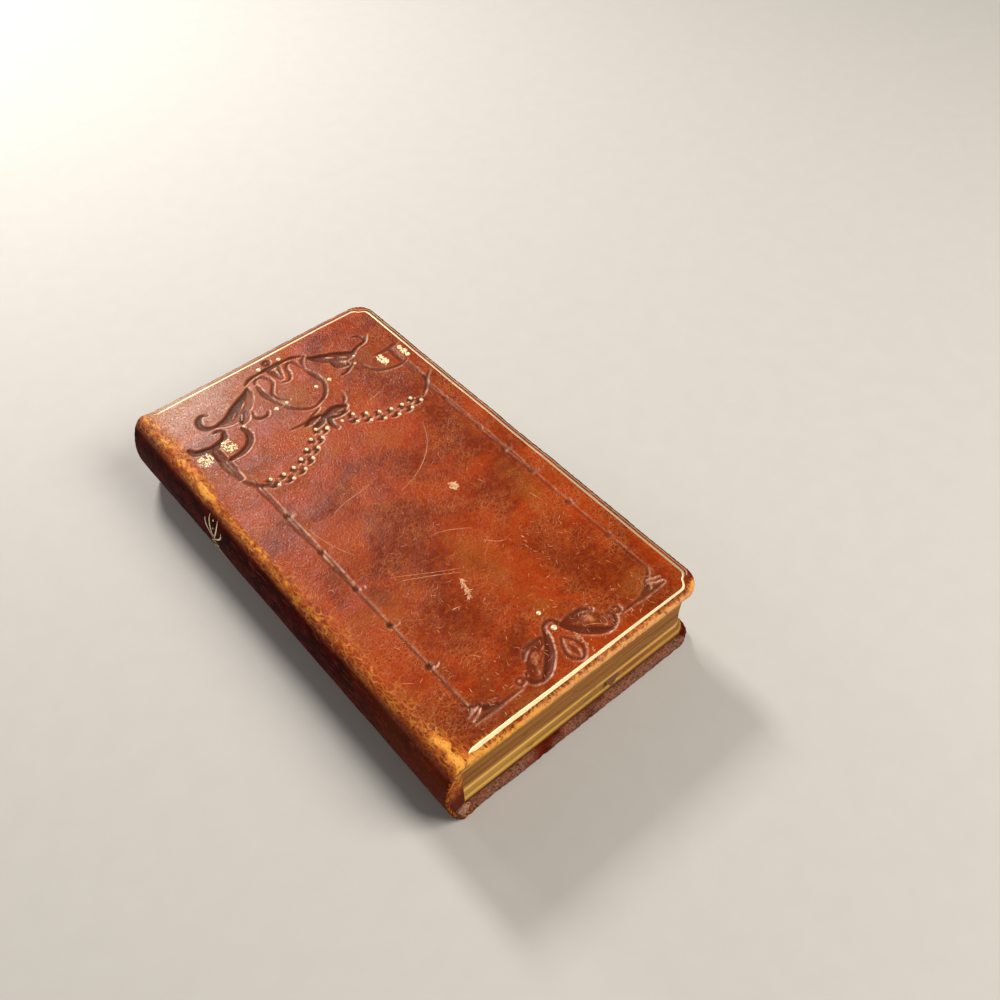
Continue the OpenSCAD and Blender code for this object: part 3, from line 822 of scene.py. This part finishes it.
def skin(name, spine_run, front):
    if front:
        half_v = folded_axis(np.concatenate([steps_between(0, PLAIN_HALF, COARSE_STEP)[:-1],
                                             steps_between(PLAIN_HALF, FLAT_V, FINE_STEP)]))
        flat_u = steps_between(0, FLAT_U, FLAT_STEP)
    else:
        half_v = folded_axis(steps_between(0, FLAT_V, 2 * FINE_STEP))
        flat_u = steps_between(0, FLAT_U, 2 * FINE_STEP)
    v_axis = np.concatenate([-half_v[:0:-1], half_v])
    u_axis = np.concatenate([steps_between(-spine_run, 0, SPINE_STEP)[:-1], folded_axis(flat_u)])
    u, v = np.meshgrid(u_axis, v_axis, indexing="ij")
    points, normals = skin_points(u, v, front)
    height = v - TAIL_Y
    past_fore = smooth(FLAT_U - 0.5, FLAT_U + 0.5, u)
    past_ends = smooth(FLAT_V - 0.4, FLAT_V + 0.5, np.abs(v))
    on_flat = (1 - past_fore) * (1 - past_ends) * smooth(-0.3, 0.6, u)
    pressed = press_strokes(u.ravel(), height.ravel(), tooled_strokes() if front else back_strokes())
    depth, dark, rim = (field.reshape(u.shape) * on_flat for field in pressed)
    points = points + normals * (leather_lift(u, v, front) - depth)[..., None]
    rub, pale, spine = front_masks(u, v, height) if front else back_masks(u, v, height)
    faces = grid_faces(len(u_axis), len(v_axis), flip=not front)
    x, y, z = points[..., 0], points[..., 1], points[..., 2]
    if not front:
        z = BOOK_T - z
    masks = {"tooling": dark, "rub": np.clip(rub, 0, 1.6), "pale": np.clip(pale, 0, 1), "spine": spine,
             "rim": rim}
    piece = make_mesh(name, to_frame(x, y, z), faces, leather_material(f"{name}_cover_finish", 0.12), masks)
    # The spine and darkened edges get a copy with almost no gloss, a shaded copy of the cover leather, so
    # they reflect little and keep their painted shade.
    piece.data.materials.append(leather_material(f"{name}_spine_finish", 0.02))
    dull = (spine > 0.5).ravel()[faces].all(1)
    piece.data.polygons.foreach_set("material_index", dull.astype(np.int32))
    return piece


def back_strokes():
    """The back cover carries only the frame of plain lines."""
    strokes = []
    for inset in (5.0, 6.0):
        low, high = inset, COVER_H - inset
        left, right = inset + 1.5, COVER_W - inset
        for a, b in (((left, low), (right, low)), ((right, low), (right, high)),
                     ((right, high), (left, high)), ((left, high), (left, low))):
            strokes.append((0.2, [(*a, 0.45), (*b, 0.45)]))
    return strokes


def make_skins():
    total = spine_path()[0][-1]
    front = skin("front_cover_skin", total - SEAM_RUN, True)
    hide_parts("front_leather", "spine_leather")
    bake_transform(front)
    back = skin("back_cover_skin", SEAM_RUN, False)
    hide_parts("back_leather")
    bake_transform(back)


# ---------------------------------------------------------------- gold on the front cover

def add_dome(points, faces, x, y, r, high):
    start = len(points)
    sides = 12
    for scale, rise in ((1.0, -0.35), (0.85, 0.35), (0.45, 0.85)):
        for k in range(sides):
            a = 2 * math.pi * k / sides
            points.append((x + r * scale * math.cos(a), y + r * scale * math.sin(a), high * rise))
    points.append((x, y, high))
    for row in range(2):
        for k in range(sides):
            a, b = start + row * sides + k, start + row * sides + (k + 1) % sides
            faces.append((a, b, b + sides, a + sides))
    top = start + 2 * sides
    faces.extend((top + k, top + (k + 1) % sides, start + 3 * sides) for k in range(sides))


def cover_piece(name, points, faces, material, front=True, tooled=False, attributes=()):
    """A thin piece on a cover: points hold the run from the shoulder, height above the tail, and rise."""
    u, height, rise = np.array(points, float).T
    v = height + TAIL_Y
    base, normals = skin_points(u, v, front)
    lift = leather_lift(u, v, front) + rise
    if tooled:
        lift = lift - press_strokes(u, height, tooled_strokes())[0] * smooth(-0.3, 0.6, u)
    x, y, z = (base + normals * lift[:, None]).T
    if not front:
        z = BOOK_T - z
    piece = make_mesh(name, to_frame(x, y, z), faces, material, attributes)
    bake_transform(piece)


def make_pearls():
    points, faces = [], []
    for at, along, side in festoon_stations():
        spot = at + Vector((-along.y, along.x)) * side * 1.25
        add_dome(points, faces, spot.x, spot.y, 0.50, 0.26)
    for x, y, r in ((28.8, 113.7, 0.65), (34.5, 113.7, 0.6), (24.9, 99.3, 0.6), (27.8, 99.5, 0.5),
                    (36.0, 99.4, 0.55), (39.8, 99.4, 0.6), (16.0, 99.4, 0.4), (47.6, 99.9, 0.35),
                    (49.0, 102.3, 0.4), (30.1, 86.1, 0.5), (34.1, 85.8, 0.45), (32.5, 15.5, 0.55),
                    (32.5, 11.0, 0.7)):
        add_dome(points, faces, x, y, r, 0.24)
    cover_piece("gold_pearls", points, faces, gold_material("pearl_gold", 0.33, 0.3))


GRAINS_PER_LEAF = 64


def make_gold_leaves():
    """Four small leaves beside the torch capitals, each a cluster of overlapping gold grains."""
    points, faces = [], []
    rng = np.random.default_rng(5)
    for x0, x1, y0, y1 in ((2.2, 5.6, 94.0, 97.6), (8.7, 11.8, 94.2, 98.2), (52.6, 54.7, 94.6, 98.4),
                           (58.5, 60.1, 93.8, 98.0)):
        for _ in range(GRAINS_PER_LEAF):
            t = rng.random()
            y = y0 + (y1 - y0) * t
            width = (x1 - x0) * (0.25 + 0.75 * math.sin(math.pi * (0.15 + 0.7 * t)))
            x = (x0 + x1) / 2 + (rng.random() - 0.5) * width
            add_dome(points, faces, x, y, 0.15 + 0.17 * rng.random(), 0.13)
    cover_piece("gold_leaves", points, faces, gold_material("leaf_gold", 0.36, 0.45))


def rounded_path(inset_tail, inset_fore, inset_head, corner, start_x):
    """Points along tail, fore-edge and head, from the spine side round and back, each inset by its amount."""
    low, high, right = inset_tail - EDGE_ROLL, 2 * HALF_H - EDGE_ROLL - inset_head, COVER_W - inset_fore
    arc = np.linspace(0, math.pi / 2, 10)
    tail = np.stack([np.linspace(start_x, right - corner, 120), np.full(120, low)], 1)
    turn_a = np.stack([right - corner + corner * np.sin(arc), low + corner - corner * np.cos(arc)], 1)
    fore = np.stack([np.full(200, right), np.linspace(low + corner, high - corner, 200)], 1)[1:-1]
    turn_b = np.stack([right - corner + corner * np.cos(arc), high - corner + corner * np.sin(arc)], 1)
    head = np.stack([np.linspace(right - corner, start_x - 1.5, 120), np.full(120, high)], 1)
    return np.vstack([tail, turn_a[1:], fore, turn_b, head[1:]])


def strip_along(path, widths, crown, start=0):
    """A slightly crowned strip along a path in the plane: points and faces."""
    ahead = np.gradient(path, axis=0)
    ahead /= np.linalg.norm(ahead, axis=1)[:, None]
    side = np.stack([-ahead[:, 1], ahead[:, 0]], 1)
    rows = []
    for across, rise in ((-0.5, -0.04), (-0.3, crown), (0.3, crown), (0.5, -0.04)):
        rows.append(np.column_stack([path + side * (widths * across)[:, None], np.full(len(path), rise)]))
    points = np.stack(rows, 1).reshape(-1, 3)
    return points, grid_faces(len(path), 4, start=start, flip=True)


def make_fillets():
    for front in (True, False):
        cover = "front_cover" if front else "back_cover"
        path = rounded_path(1.7, 1.85, 2.2, 3.6, 2.9)
        along_tail = smooth(5.0, 1.4, path[:, 1])
        wander = 1 + 0.2 * (value_noise(path[:, 0], path[:, 1], 2.0, 71) - 0.5)
        taper = smooth(2.4, 4.5, path[:, 0])
        widths = (0.46 + 0.44 * along_tail * smooth(75, 10, path[:, 0])) * wander * taper + 0.12
        # The glint is a painted highlight: on the front the fillet is lit along the tail and towards the
        # head, a little all round; the back fillet gets none.
        upper = 0.42 * smooth(90, 117, path[:, 1]) + 0.25
        fillet_glint = np.maximum(along_tail, upper) if front else np.zeros(len(path))
        outer = rounded_path(0.95, 1.0, 1.15, 4.2, 3.4)
        outer = outer[outer[:, 1] > 2.0]
        thin, dull = np.full(len(outer), 0.26), np.full(len(outer), 0.12)
        for kind, line, width, crown, shine in (("fillet", path, widths, 0.035, fillet_glint),
                                                ("line", outer, thin, 0.03, dull)):
            points, faces = strip_along(line, width, crown)
            cover_piece(f"{cover}_gold_{kind}", points, faces, fillet_material(f"{cover}_{kind}_gold"), front,
                        attributes={"fillet_glint": np.repeat(shine, 4)})


def add_strip(points, faces, path, widths, crown=0.02):
    strip, quads = strip_along(np.array(path, float), np.array(widths, float), crown, start=len(points))
    points.extend(strip)
    faces.extend(quads)


ORNAMENT_Y = 82.0


def make_spine_ornament():
    """Small gilt device across the spine below the head: a lozenge with leaves and dots on either side."""
    points, faces = [], []
    middle = spine_path()[0][-1] / 2
    y = ORNAMENT_Y
    for flip in (-1, 1):
        for turn in (-1, 1):
            for reach, lean in ((6.6, 1.6), (4.4, 3.4)):
                t = np.linspace(0, 1, 14)
                path = np.stack([-middle - flip * (1.4 + reach * t), y + turn * lean * np.sin(1.9 * t)], 1)
                add_strip(points, faces, path, 0.12 + 0.42 * np.sin(math.pi * np.clip(t, 0.02, 0.98)), 0.03)
        for k in range(3):
            add_dome(points, faces, -middle - flip * (2.6 + 2.2 * k), y, 0.28, 0.08)
    lozenge = ((0, 1.5), (1.0, 0), (0, -1.5), (-1.0, 0), (0, 1.5))
    for corners in zip(lozenge, lozenge[1:]):
        ends = np.array(corners) + (-middle, y)
        path = ends[0] + np.linspace(0, 1, 6)[:, None] * (ends[1] - ends[0])
        add_strip(points, faces, path, np.full(6, 0.26), 0.03)
    cover_piece("spine_gilt_ornament", points, faces, gold_material("spine_gold", 0.44))


def hairline_density(u, height):
    """Where the polished surface has cracked: the shoulder side, the lower part, round the tail leaves."""
    low = 0.5 * smooth(75, 20, height) * smooth(62, 25, u)
    side = 0.8 * smooth(7, 1, u) * smooth(100, 60, height)
    tail = 0.9 * bump_at(np.hypot((u - 36) * 0.7, height - 12), 0.0, 8.0)
    return 0.10 + np.maximum.reduce([low, side, tail])


SCRATCH_STEP = 0.4


def scratch_path(first, last, leave, arrive):
    """A cubic from first to last that leaves and arrives at the given headings."""
    length = np.linalg.norm(last - first)
    out, into = (length * np.array((math.cos(a), math.sin(a))) for a in (leave, arrive))
    t = np.linspace(0, 1, max(4, int(length / SCRATCH_STEP)))[:, None]
    ends = (2 * t**3 - 3 * t**2 + 1) * first + (3 * t**2 - 2 * t**3) * last
    return ends + (t**3 - 2 * t**2 + t) * out + (t**3 - t**2) * into


BARE_SPOT_DASHES = 60
SCUFF_DASHES = 70
CRACK_TRIES = 9000
SHORT_DASHES = 190
SPINE_STREAKS = 150


def make_hairlines():
    """Torn hairlines: a few long ones, two worn-through spots, many short cracks, and streaks along the
    spine.
    """
    rng = np.random.default_rng(31)
    points, faces, dim = [], [], []

    def add(path, widths, dullness=0.0, crown=0.02):
        add_strip(points, faces, path, widths, crown)
        dim.extend([dullness] * (len(points) - len(dim)))

    def dash(at, turn, length, dullness, widths, crown):
        steps = np.linspace(0, length, 4)[:, None]
        add(at + steps * (math.cos(turn), math.sin(turn)), widths, dullness, crown)

    # Ends on a half-millimetre grid, and the headings in degrees there
    long_ones = (
        ((47.5, 73.0), (31.5, 59.5), -104, -172), ((15.5, 42.0), (28.0, 34.5), -31, -26),
        ((36.0, 37.5), (40.0, 34.0), -60, -10), ((29.5, 45.0), (36.5, 41.0), -15, -42),
        ((16.5, 40.0), (27.5, 33.5), -29, -34), ((16.0, 63.0), (27.5, 65.5), 40, 12),
        ((10.0, 65.0), (13.5, 51.5), -86, -62), ((46.5, 88.0), (42.5, 87.0), -164, -164),
        ((16.0, 17.0), (17.5, 15.0), -40, -66), ((20.0, 27.5), (22.0, 27.0), -14, -14),
        ((46.0, 51.0), (47.0, 49.0), -64, -64), ((52.0, 40.5), (52.5, 38.0), -80, -80),
        ((37.0, 7.5), (41.0, 4.5), -10, -60), ((38.5, 9.0), (40.0, 9.0), 10, -10),
        ((35.0, 7.0), (34.5, 3.5), -85, -100),
    )
    for first, last, leave, arrive in long_ones:
        path = scratch_path(np.array(first), np.array(last), math.radians(leave), math.radians(arrive))
        path = path + 0.10 * (rng.random(path.shape) - 0.5)
        swell = np.sin(np.linspace(0.1, math.pi - 0.1, len(path)))
        size = 0.05 + 0.11 * swell * (0.5 + rng.random(len(path)))
        add(path, size, 0.25)
    for _ in range(BARE_SPOT_DASHES):
        t = rng.random()
        at = np.array((26.4 - 1.5 * t, 32.4 - 5.2 * t)) + 0.17 * rng.normal(size=2)
        dash(at, rng.normal(-1.9, 0.6), 0.5 + 0.7 * rng.random(), 0.0, (0.05, 0.20, 0.18, 0.05), 0.04)
    for _ in range(SCUFF_DASHES):
        at = np.array((40.6, 52.9)) + rng.normal(size=2) * (0.30, 0.50)
        dash(at, rng.normal(0.5, 0.7), 0.5 + 0.5 * rng.random(), 0.0, (0.08, 0.40, 0.36, 0.08), 0.06)
    spots = np.column_stack([rng.uniform(-0.8, 60.0, CRACK_TRIES), rng.uniform(2.5, 112.0, CRACK_TRIES)])
    spots = spots[rng.random(CRACK_TRIES) < 0.13 * hairline_density(*spots.T)]
    for at in spots:
        count = rng.integers(4, 11)
        heading = rng.uniform(0, 2 * math.pi) + np.cumsum(rng.normal(0, 0.42, count))
        path = at + 0.26 * np.cumsum(np.column_stack([np.cos(heading), np.sin(heading)]), 0)
        path[:, 0] = np.clip(path[:, 0], -1.4, 60.6)
        size = (0.035 + 0.075 * rng.random()) * np.sin(np.linspace(0.25, math.pi - 0.25, count))
        add(path, size, 0.15 + 0.75 * rng.random())
    for _ in range(SHORT_DASHES):
        at = np.array((rng.uniform(6, 54), 3 + 34 * rng.random() ** 1.4))
        dash(at, rng.normal(-1.6, 0.55), 0.4 + 0.8 * rng.random(), 0.55 * rng.random(),
             (0.05, 0.14, 0.12, 0.04), 0.03)
    for x, y0, y1, count in ((15.5, -1.6, 0.4, 14), (34.8, -1.6, 7.6, 46)):
        for _ in range(count):
            at = np.array((x + rng.normal(0, 0.22), rng.uniform(y0, y1)))
            dash(at, rng.uniform(0, math.pi), 0.25 + 0.25 * rng.random(), 0.3 * rng.random(),
                 (0.06, 0.20, 0.18, 0.06), 0.04)
    for _ in range(SPINE_STREAKS):
        start = np.array((-rng.uniform(2.4, 15.0), rng.uniform(3.0, 76.0)))
        steps = np.linspace(0, 0.8 + 2.2 * rng.random(), 6)[:, None]
        path = start + steps * (0.12 * rng.normal(), 1.0) + 0.05 * rng.normal(size=(6, 2))
        add(path, 0.07 * np.sin(np.linspace(0.3, math.pi - 0.3, 6)), 1.0)
    cover_piece("leather_hairlines", points, faces, raw_leather_material(), tooled=True,
                attributes={"dim": dim})


CAP_COLUMNS = 46
CAP_INNER_X = 0.5
CAP_TONGUE = 1.3


def make_headcaps():
    """Leather moulded over both ends of the spine, between the folded cover and the leaves."""
    _, px, pz, nx, nz = spine_path()
    pick = np.linspace(0.05, 0.95, CAP_COLUMNS) * (len(px) - 1)
    order = np.arange(len(px))
    x, z, nx, nz = (np.interp(pick, order, values) for values in (px, pz, nx, nz))
    for end, side in (("tail", -1), ("head", 1)):
        rows = []
        for inset, drop in ((0.95, 0.55), (1.25, 0.42), (1.7, 0.48)):
            y = np.full(CAP_COLUMNS, side * (HALF_H - drop))
            rows.append([np.minimum(x - nx * inset, CAP_INNER_X), y, z - nz * inset])
        rim_x, _, rim_z = rows[-1]
        # Beside the boards the cap runs on to narrow the wedge under the thinned leather
        boards = BOOK_T / 2 - COVER_T
        beside = smooth(boards - 0.3, boards + 0.1, np.abs(rim_z - BOOK_T / 2))
        far = CAP_INNER_X + CAP_TONGUE * beside
        for reach, drop in ((0.45, 0.62), (1.0, 0.95), (1.0, 1.5)):
            y = np.full(CAP_COLUMNS, side * (HALF_H - drop))
            rows.append([rim_x + (far - rim_x) * reach, y, rim_z])
        points = np.array(rows).transpose(2, 0, 1)
        room = SPINE_T + 0.17 + (COVER_T - SPINE_T) * smooth(-0.5, TURN_X, points[..., 0])
        points[..., 2] = np.clip(points[..., 2], room, BOOK_T - room)
        frayed = value_noise(points[..., 2], points[..., 0], 0.7, 52 + side)
        points[..., 1] += side * 0.10 * (frayed - 0.5)
        share = points[..., 2] / BOOK_T
        none = np.zeros(share.shape)
        # The cap's spine mask gives it the spine's dark red, partly painted shade, most towards the back
        # cover.
        masks = {"rub": (0.85 if side < 0 else 0.5) * smooth(0.35, 0.85, share),
                 "spine": 0.75 * smooth(0.85, 0.40, share), "pale": smooth(0.28, 0.18, share),
                 "tooling": none, "rim": none}
        faces = grid_faces(CAP_COLUMNS, len(rows), flip=side > 0)
        material = leather_material(f"spine_cap_{end}_finish", 0.06)
        cap = make_mesh(f"spine_cap_{end}", to_frame(*points.reshape(-1, 3).T), faces, material, masks)
        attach(cap, "text_block")


# ---------------------------------------------------------------- pages

LEAVES_PER_SECTION = 5
PAGE_CORNER = 3.2


def leaf_outline(x0, x1, half, corner, inset):
    """Plan of a leaf from the spine side round by the tail, anticlockwise, drawn in by inset."""
    n_arc, n_side, n_fore = 8, 26, 40
    x1, half = x1 - inset, half - inset
    arc = np.linspace(-math.pi / 2, 0, n_arc)
    tail = np.stack([np.linspace(x0, x1 - corner, n_side), np.full(n_side, -half)], 1)
    turn = np.stack([x1 - corner + corner * np.cos(arc), -half + corner + corner * np.sin(arc)], 1)[1:]
    fore = np.stack([np.full(n_fore, x1), np.linspace(-half + corner, half - corner, n_fore)], 1)[1:]
    other = turn[::-1] * (1, -1)
    head = tail[::-1] * (1, -1)
    return np.vstack([tail, turn, fore, other[1:], head[1:]])


def gilt_light_and_tone(share, x, seed):
    """Lightness of the gilding: a few long light lines that are painted highlights among darker sections, a
    painted light band low down towards the spine, which leaves the upper leaves dark as painted shadow under
    the cover, and some random tone.
    """
    line = 0.75 * bump_at(share, 0.335, 0.045) + 0.55 * bump_at(share, 0.06, 0.05)
    line = line + 0.35 * bump_at(share, 0.95, 0.03)
    broad = 0.30 * smooth(0.50, 0.34, share) * smooth(40, 5, x)
    return np.clip(line + broad + 0.14 * value_noise(x, x * 0 + 7 * seed, 9.0, 61), 0, 1)


def make_sections():
    boxes = {int(n.split("_")[1]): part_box(n) for n in frame["nodes"] if n.startswith("section_")}
    pitch = (boxes[2][1].z - boxes[2][0].z) / MM
    order = range(1, len(boxes) + 1)
    spans = {}
    for i, (lo, hi) in boxes.items():
        top = lo.z / MM + pitch if i == order[-1] else hi.z / MM
        spans[i] = (top - pitch, top)
    mids = [sum(spans[i]) / 2 for i in order]
    backs, reach = ([boxes[i][end].x / MM - SHOULDER_X for i in order] for end in (0, 1))
    half = boxes[2][1].y / MM
    rng = np.random.default_rng(23)
    material = gilt_paper_material()
    for i in order:
        z0, z1 = spans[i]
        rows = []
        for leaf in range(LEAVES_PER_SECTION):
            shy = 0.05 * rng.random() + (0.10 if rng.random() < 0.12 else 0.0)
            for part, inset in ((0.02, 0.07), (0.3, 0.0), (0.7, 0.0), (0.98, 0.07)):
                z = z0 + (z1 - z0) * (leaf + part) / LEAVES_PER_SECTION
                x1 = np.interp(z, mids, reach) - 0.02
                x0 = np.interp(z, mids, backs) + 0.05
                plan = leaf_outline(x0, x1, half, PAGE_CORNER, inset + shy)
                wave = 0.03 * (value_noise(plan[:, 0], plan[:, 1], 12.0, 90 + i) - 0.5)
                rows.append(np.column_stack([plan, z + wave * smooth(0, 0.5, min(z - z0, z1 - z))]))
        round_leaf = len(rows[0])
        inner = leaf_outline(x0 + 0.3, x1 - 0.3, half - 0.3, PAGE_CORNER, 0.07)
        rows.insert(0, np.column_stack([inner, np.full(round_leaf, z0 + 0.004)]))
        rows.append(np.column_stack([inner, np.full(round_leaf, z1 - 0.004)]))
        points = np.vstack(rows)
        faces = [*grid_faces(len(rows), round_leaf, closed=True)]
        faces.append(tuple(range(round_leaf))[::-1])
        faces.append(tuple(range(len(points) - round_leaf, len(points))))
        edge = np.ones(len(points))
        edge[:round_leaf] = 0
        edge[-round_leaf:] = 0
        # Tone: painted highlights and painted shadow on the gilt edges, with some random variation.
        tone = gilt_light_and_tone((points[:, 2] - mids[0]) / (mids[-1] - mids[0]), points[:, 0], i)
        piece = make_mesh(f"folded_section_{i}", to_frame(*points.T), faces, material,
                          {"edge": edge, "tone": tone}, False)
        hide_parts(f"section_{i}")
        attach(piece, "text_block")


def leaf_sheet(node, material):
    """A leaf, or a thin group of leaves, from the gutter to the fore-edge, with closer rows near the gutter
    where it is sewn.
    """
    lo, hi = (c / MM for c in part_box(node))
    x1, half = hi.x - SHOULDER_X, hi.y
    near = np.linspace(-0.3, 5.1, 19)
    wide = np.linspace(5.1, x1 - PAGE_CORNER, 30)[1:]
    arc = x1 - PAGE_CORNER + PAGE_CORNER * np.sin(np.linspace(0, math.pi / 2, 9))[1:]
    xs = np.concatenate([near, wide, arc])
    past_arc = xs - x1 + PAGE_CORNER
    in_corner = half - PAGE_CORNER + np.sqrt(np.maximum(0, PAGE_CORNER**2 - past_arc**2))
    halves = np.where(xs > x1 - PAGE_CORNER, in_corner, half)
    across = np.sin(np.linspace(-math.pi / 2, math.pi / 2, 25))
    x = np.repeat(xs[:, None], len(across), 1)
    y = halves[:, None] * across[None]
    p = np.vstack([np.stack([x, y, np.full(x.shape, z)], -1).reshape(-1, 3) for z in (lo.z, hi.z)])
    n = x.size
    rows, cols = x.shape
    faces = [*grid_faces(rows, cols), *grid_faces(rows, cols, start=n, flip=True)]
    rim = [r * cols for r in range(rows)] + [(rows - 1) * cols + c for c in range(1, cols)]
    rim += [r * cols + cols - 1 for r in range(rows - 2, -1, -1)] + [c for c in range(cols - 2, 0, -1)]
    faces.extend((a, b, b + n, a + n) for a, b in zip(rim, rim[1:] + rim[:1]))
    out_x, out_y = p[:, 0] - x1 + PAGE_CORNER, np.abs(p[:, 1]) - half + PAGE_CORNER
    round_corner = np.hypot(np.maximum(out_x, 0), np.maximum(out_y, 0))
    distance = PAGE_CORNER - np.maximum(round_corner, np.maximum(out_x, out_y))
    edge = (distance < 0.05).astype(float)
    piece = make_mesh(f"{node}_sheet", to_frame(*p.T), faces, material, {"edge": edge}, False)
    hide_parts(node)
    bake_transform(piece)


def make_leaves():
    leaf_paper = gilt_paper_material()
    for node in ("front_flyleaf", "title_leaf", "front_leaves_outer", "front_leaves_inner", "back_flyleaf",
                 "back_leaves"):
        leaf_sheet(node, leaf_paper)
    joint_paper = paper_material("joint_paper_finish")
    for cover in ("front_cover", "back_cover"):
        lo, hi = (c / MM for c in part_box(f"{cover.split('_')[0]}_pastedown"))
        n = 15
        x, y = np.meshgrid(np.linspace(-0.4, TURN_X + 0.05, n), [-hi.y, hi.y], indexing="ij")
        points = np.vstack([np.stack([x, y, np.full((n, 2), z)], -1).reshape(-1, 3) for z in (lo.z, hi.z)])
        faces = [*grid_faces(n, 2), *grid_faces(n, 2, start=2 * n, flip=True)]
        for k in range(0, 2 * n - 2, 2):
            faces.append((k, k + 2, k + 2 * n + 2, k + 2 * n))
        for k in range(1, 2 * n - 1, 2):
            faces.append((k, k + 2 * n, k + 2 * n + 2, k + 2))
        strip = make_mesh(f"{cover}_joint_paper", to_frame(*points.T), faces, joint_paper, smooth_faces=False)
        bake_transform(strip)


# ---------------------------------------------------------------- CAD nodes that show as they are

def finish_cad_nodes():
    plain = {
        "front_pastedown": paper_material("front_pastedown_finish"),
        "back_pastedown": paper_material("back_pastedown_finish"),
        "front_infill": paper_material("infill_finish"),
        "front_board": board_material(),
        "spine_lining": cloth_material("lining_finish", (0.62, 0.57, 0.46), (0.34, 0.29, 0.20), 0.35),
        "sewing_tapes": cloth_material("tape_finish", (0.72, 0.67, 0.55), (0.45, 0.40, 0.30), 0.25),
        "sewing_thread": cloth_material("thread_finish", (0.78, 0.72, 0.58), (0.5, 0.43, 0.3), 0.12),
        "headband": silk_material("headband_finish", (0.55, 0.45, 0.25), (0.30, 0.03, 0.02), 0.35, "Z"),
        "tailband": silk_material("tailband_finish", (0.55, 0.45, 0.25), (0.30, 0.03, 0.02), 0.35, "Z"),
        "ribbon_marker": silk_material("ribbon_finish", (0.34, 0.13, 0.030), (0.13, 0.042, 0.010), 0.22, "X"),
    }
    plain["back_infill"] = plain["front_infill"]
    plain["back_board"] = plain["spine_inlay"] = plain["front_board"]
    for node, material in plain.items():
        piece = frame["nodes"][node]
        piece.data.materials.clear()
        piece.data.materials.append(material)


make_camera()
make_stage()
make_skins()
make_pearls()
make_gold_leaves()
make_fillets()
make_spine_ornament()
make_hairlines()
make_headcaps()
make_sections()
make_leaves()
finish_cad_nodes()
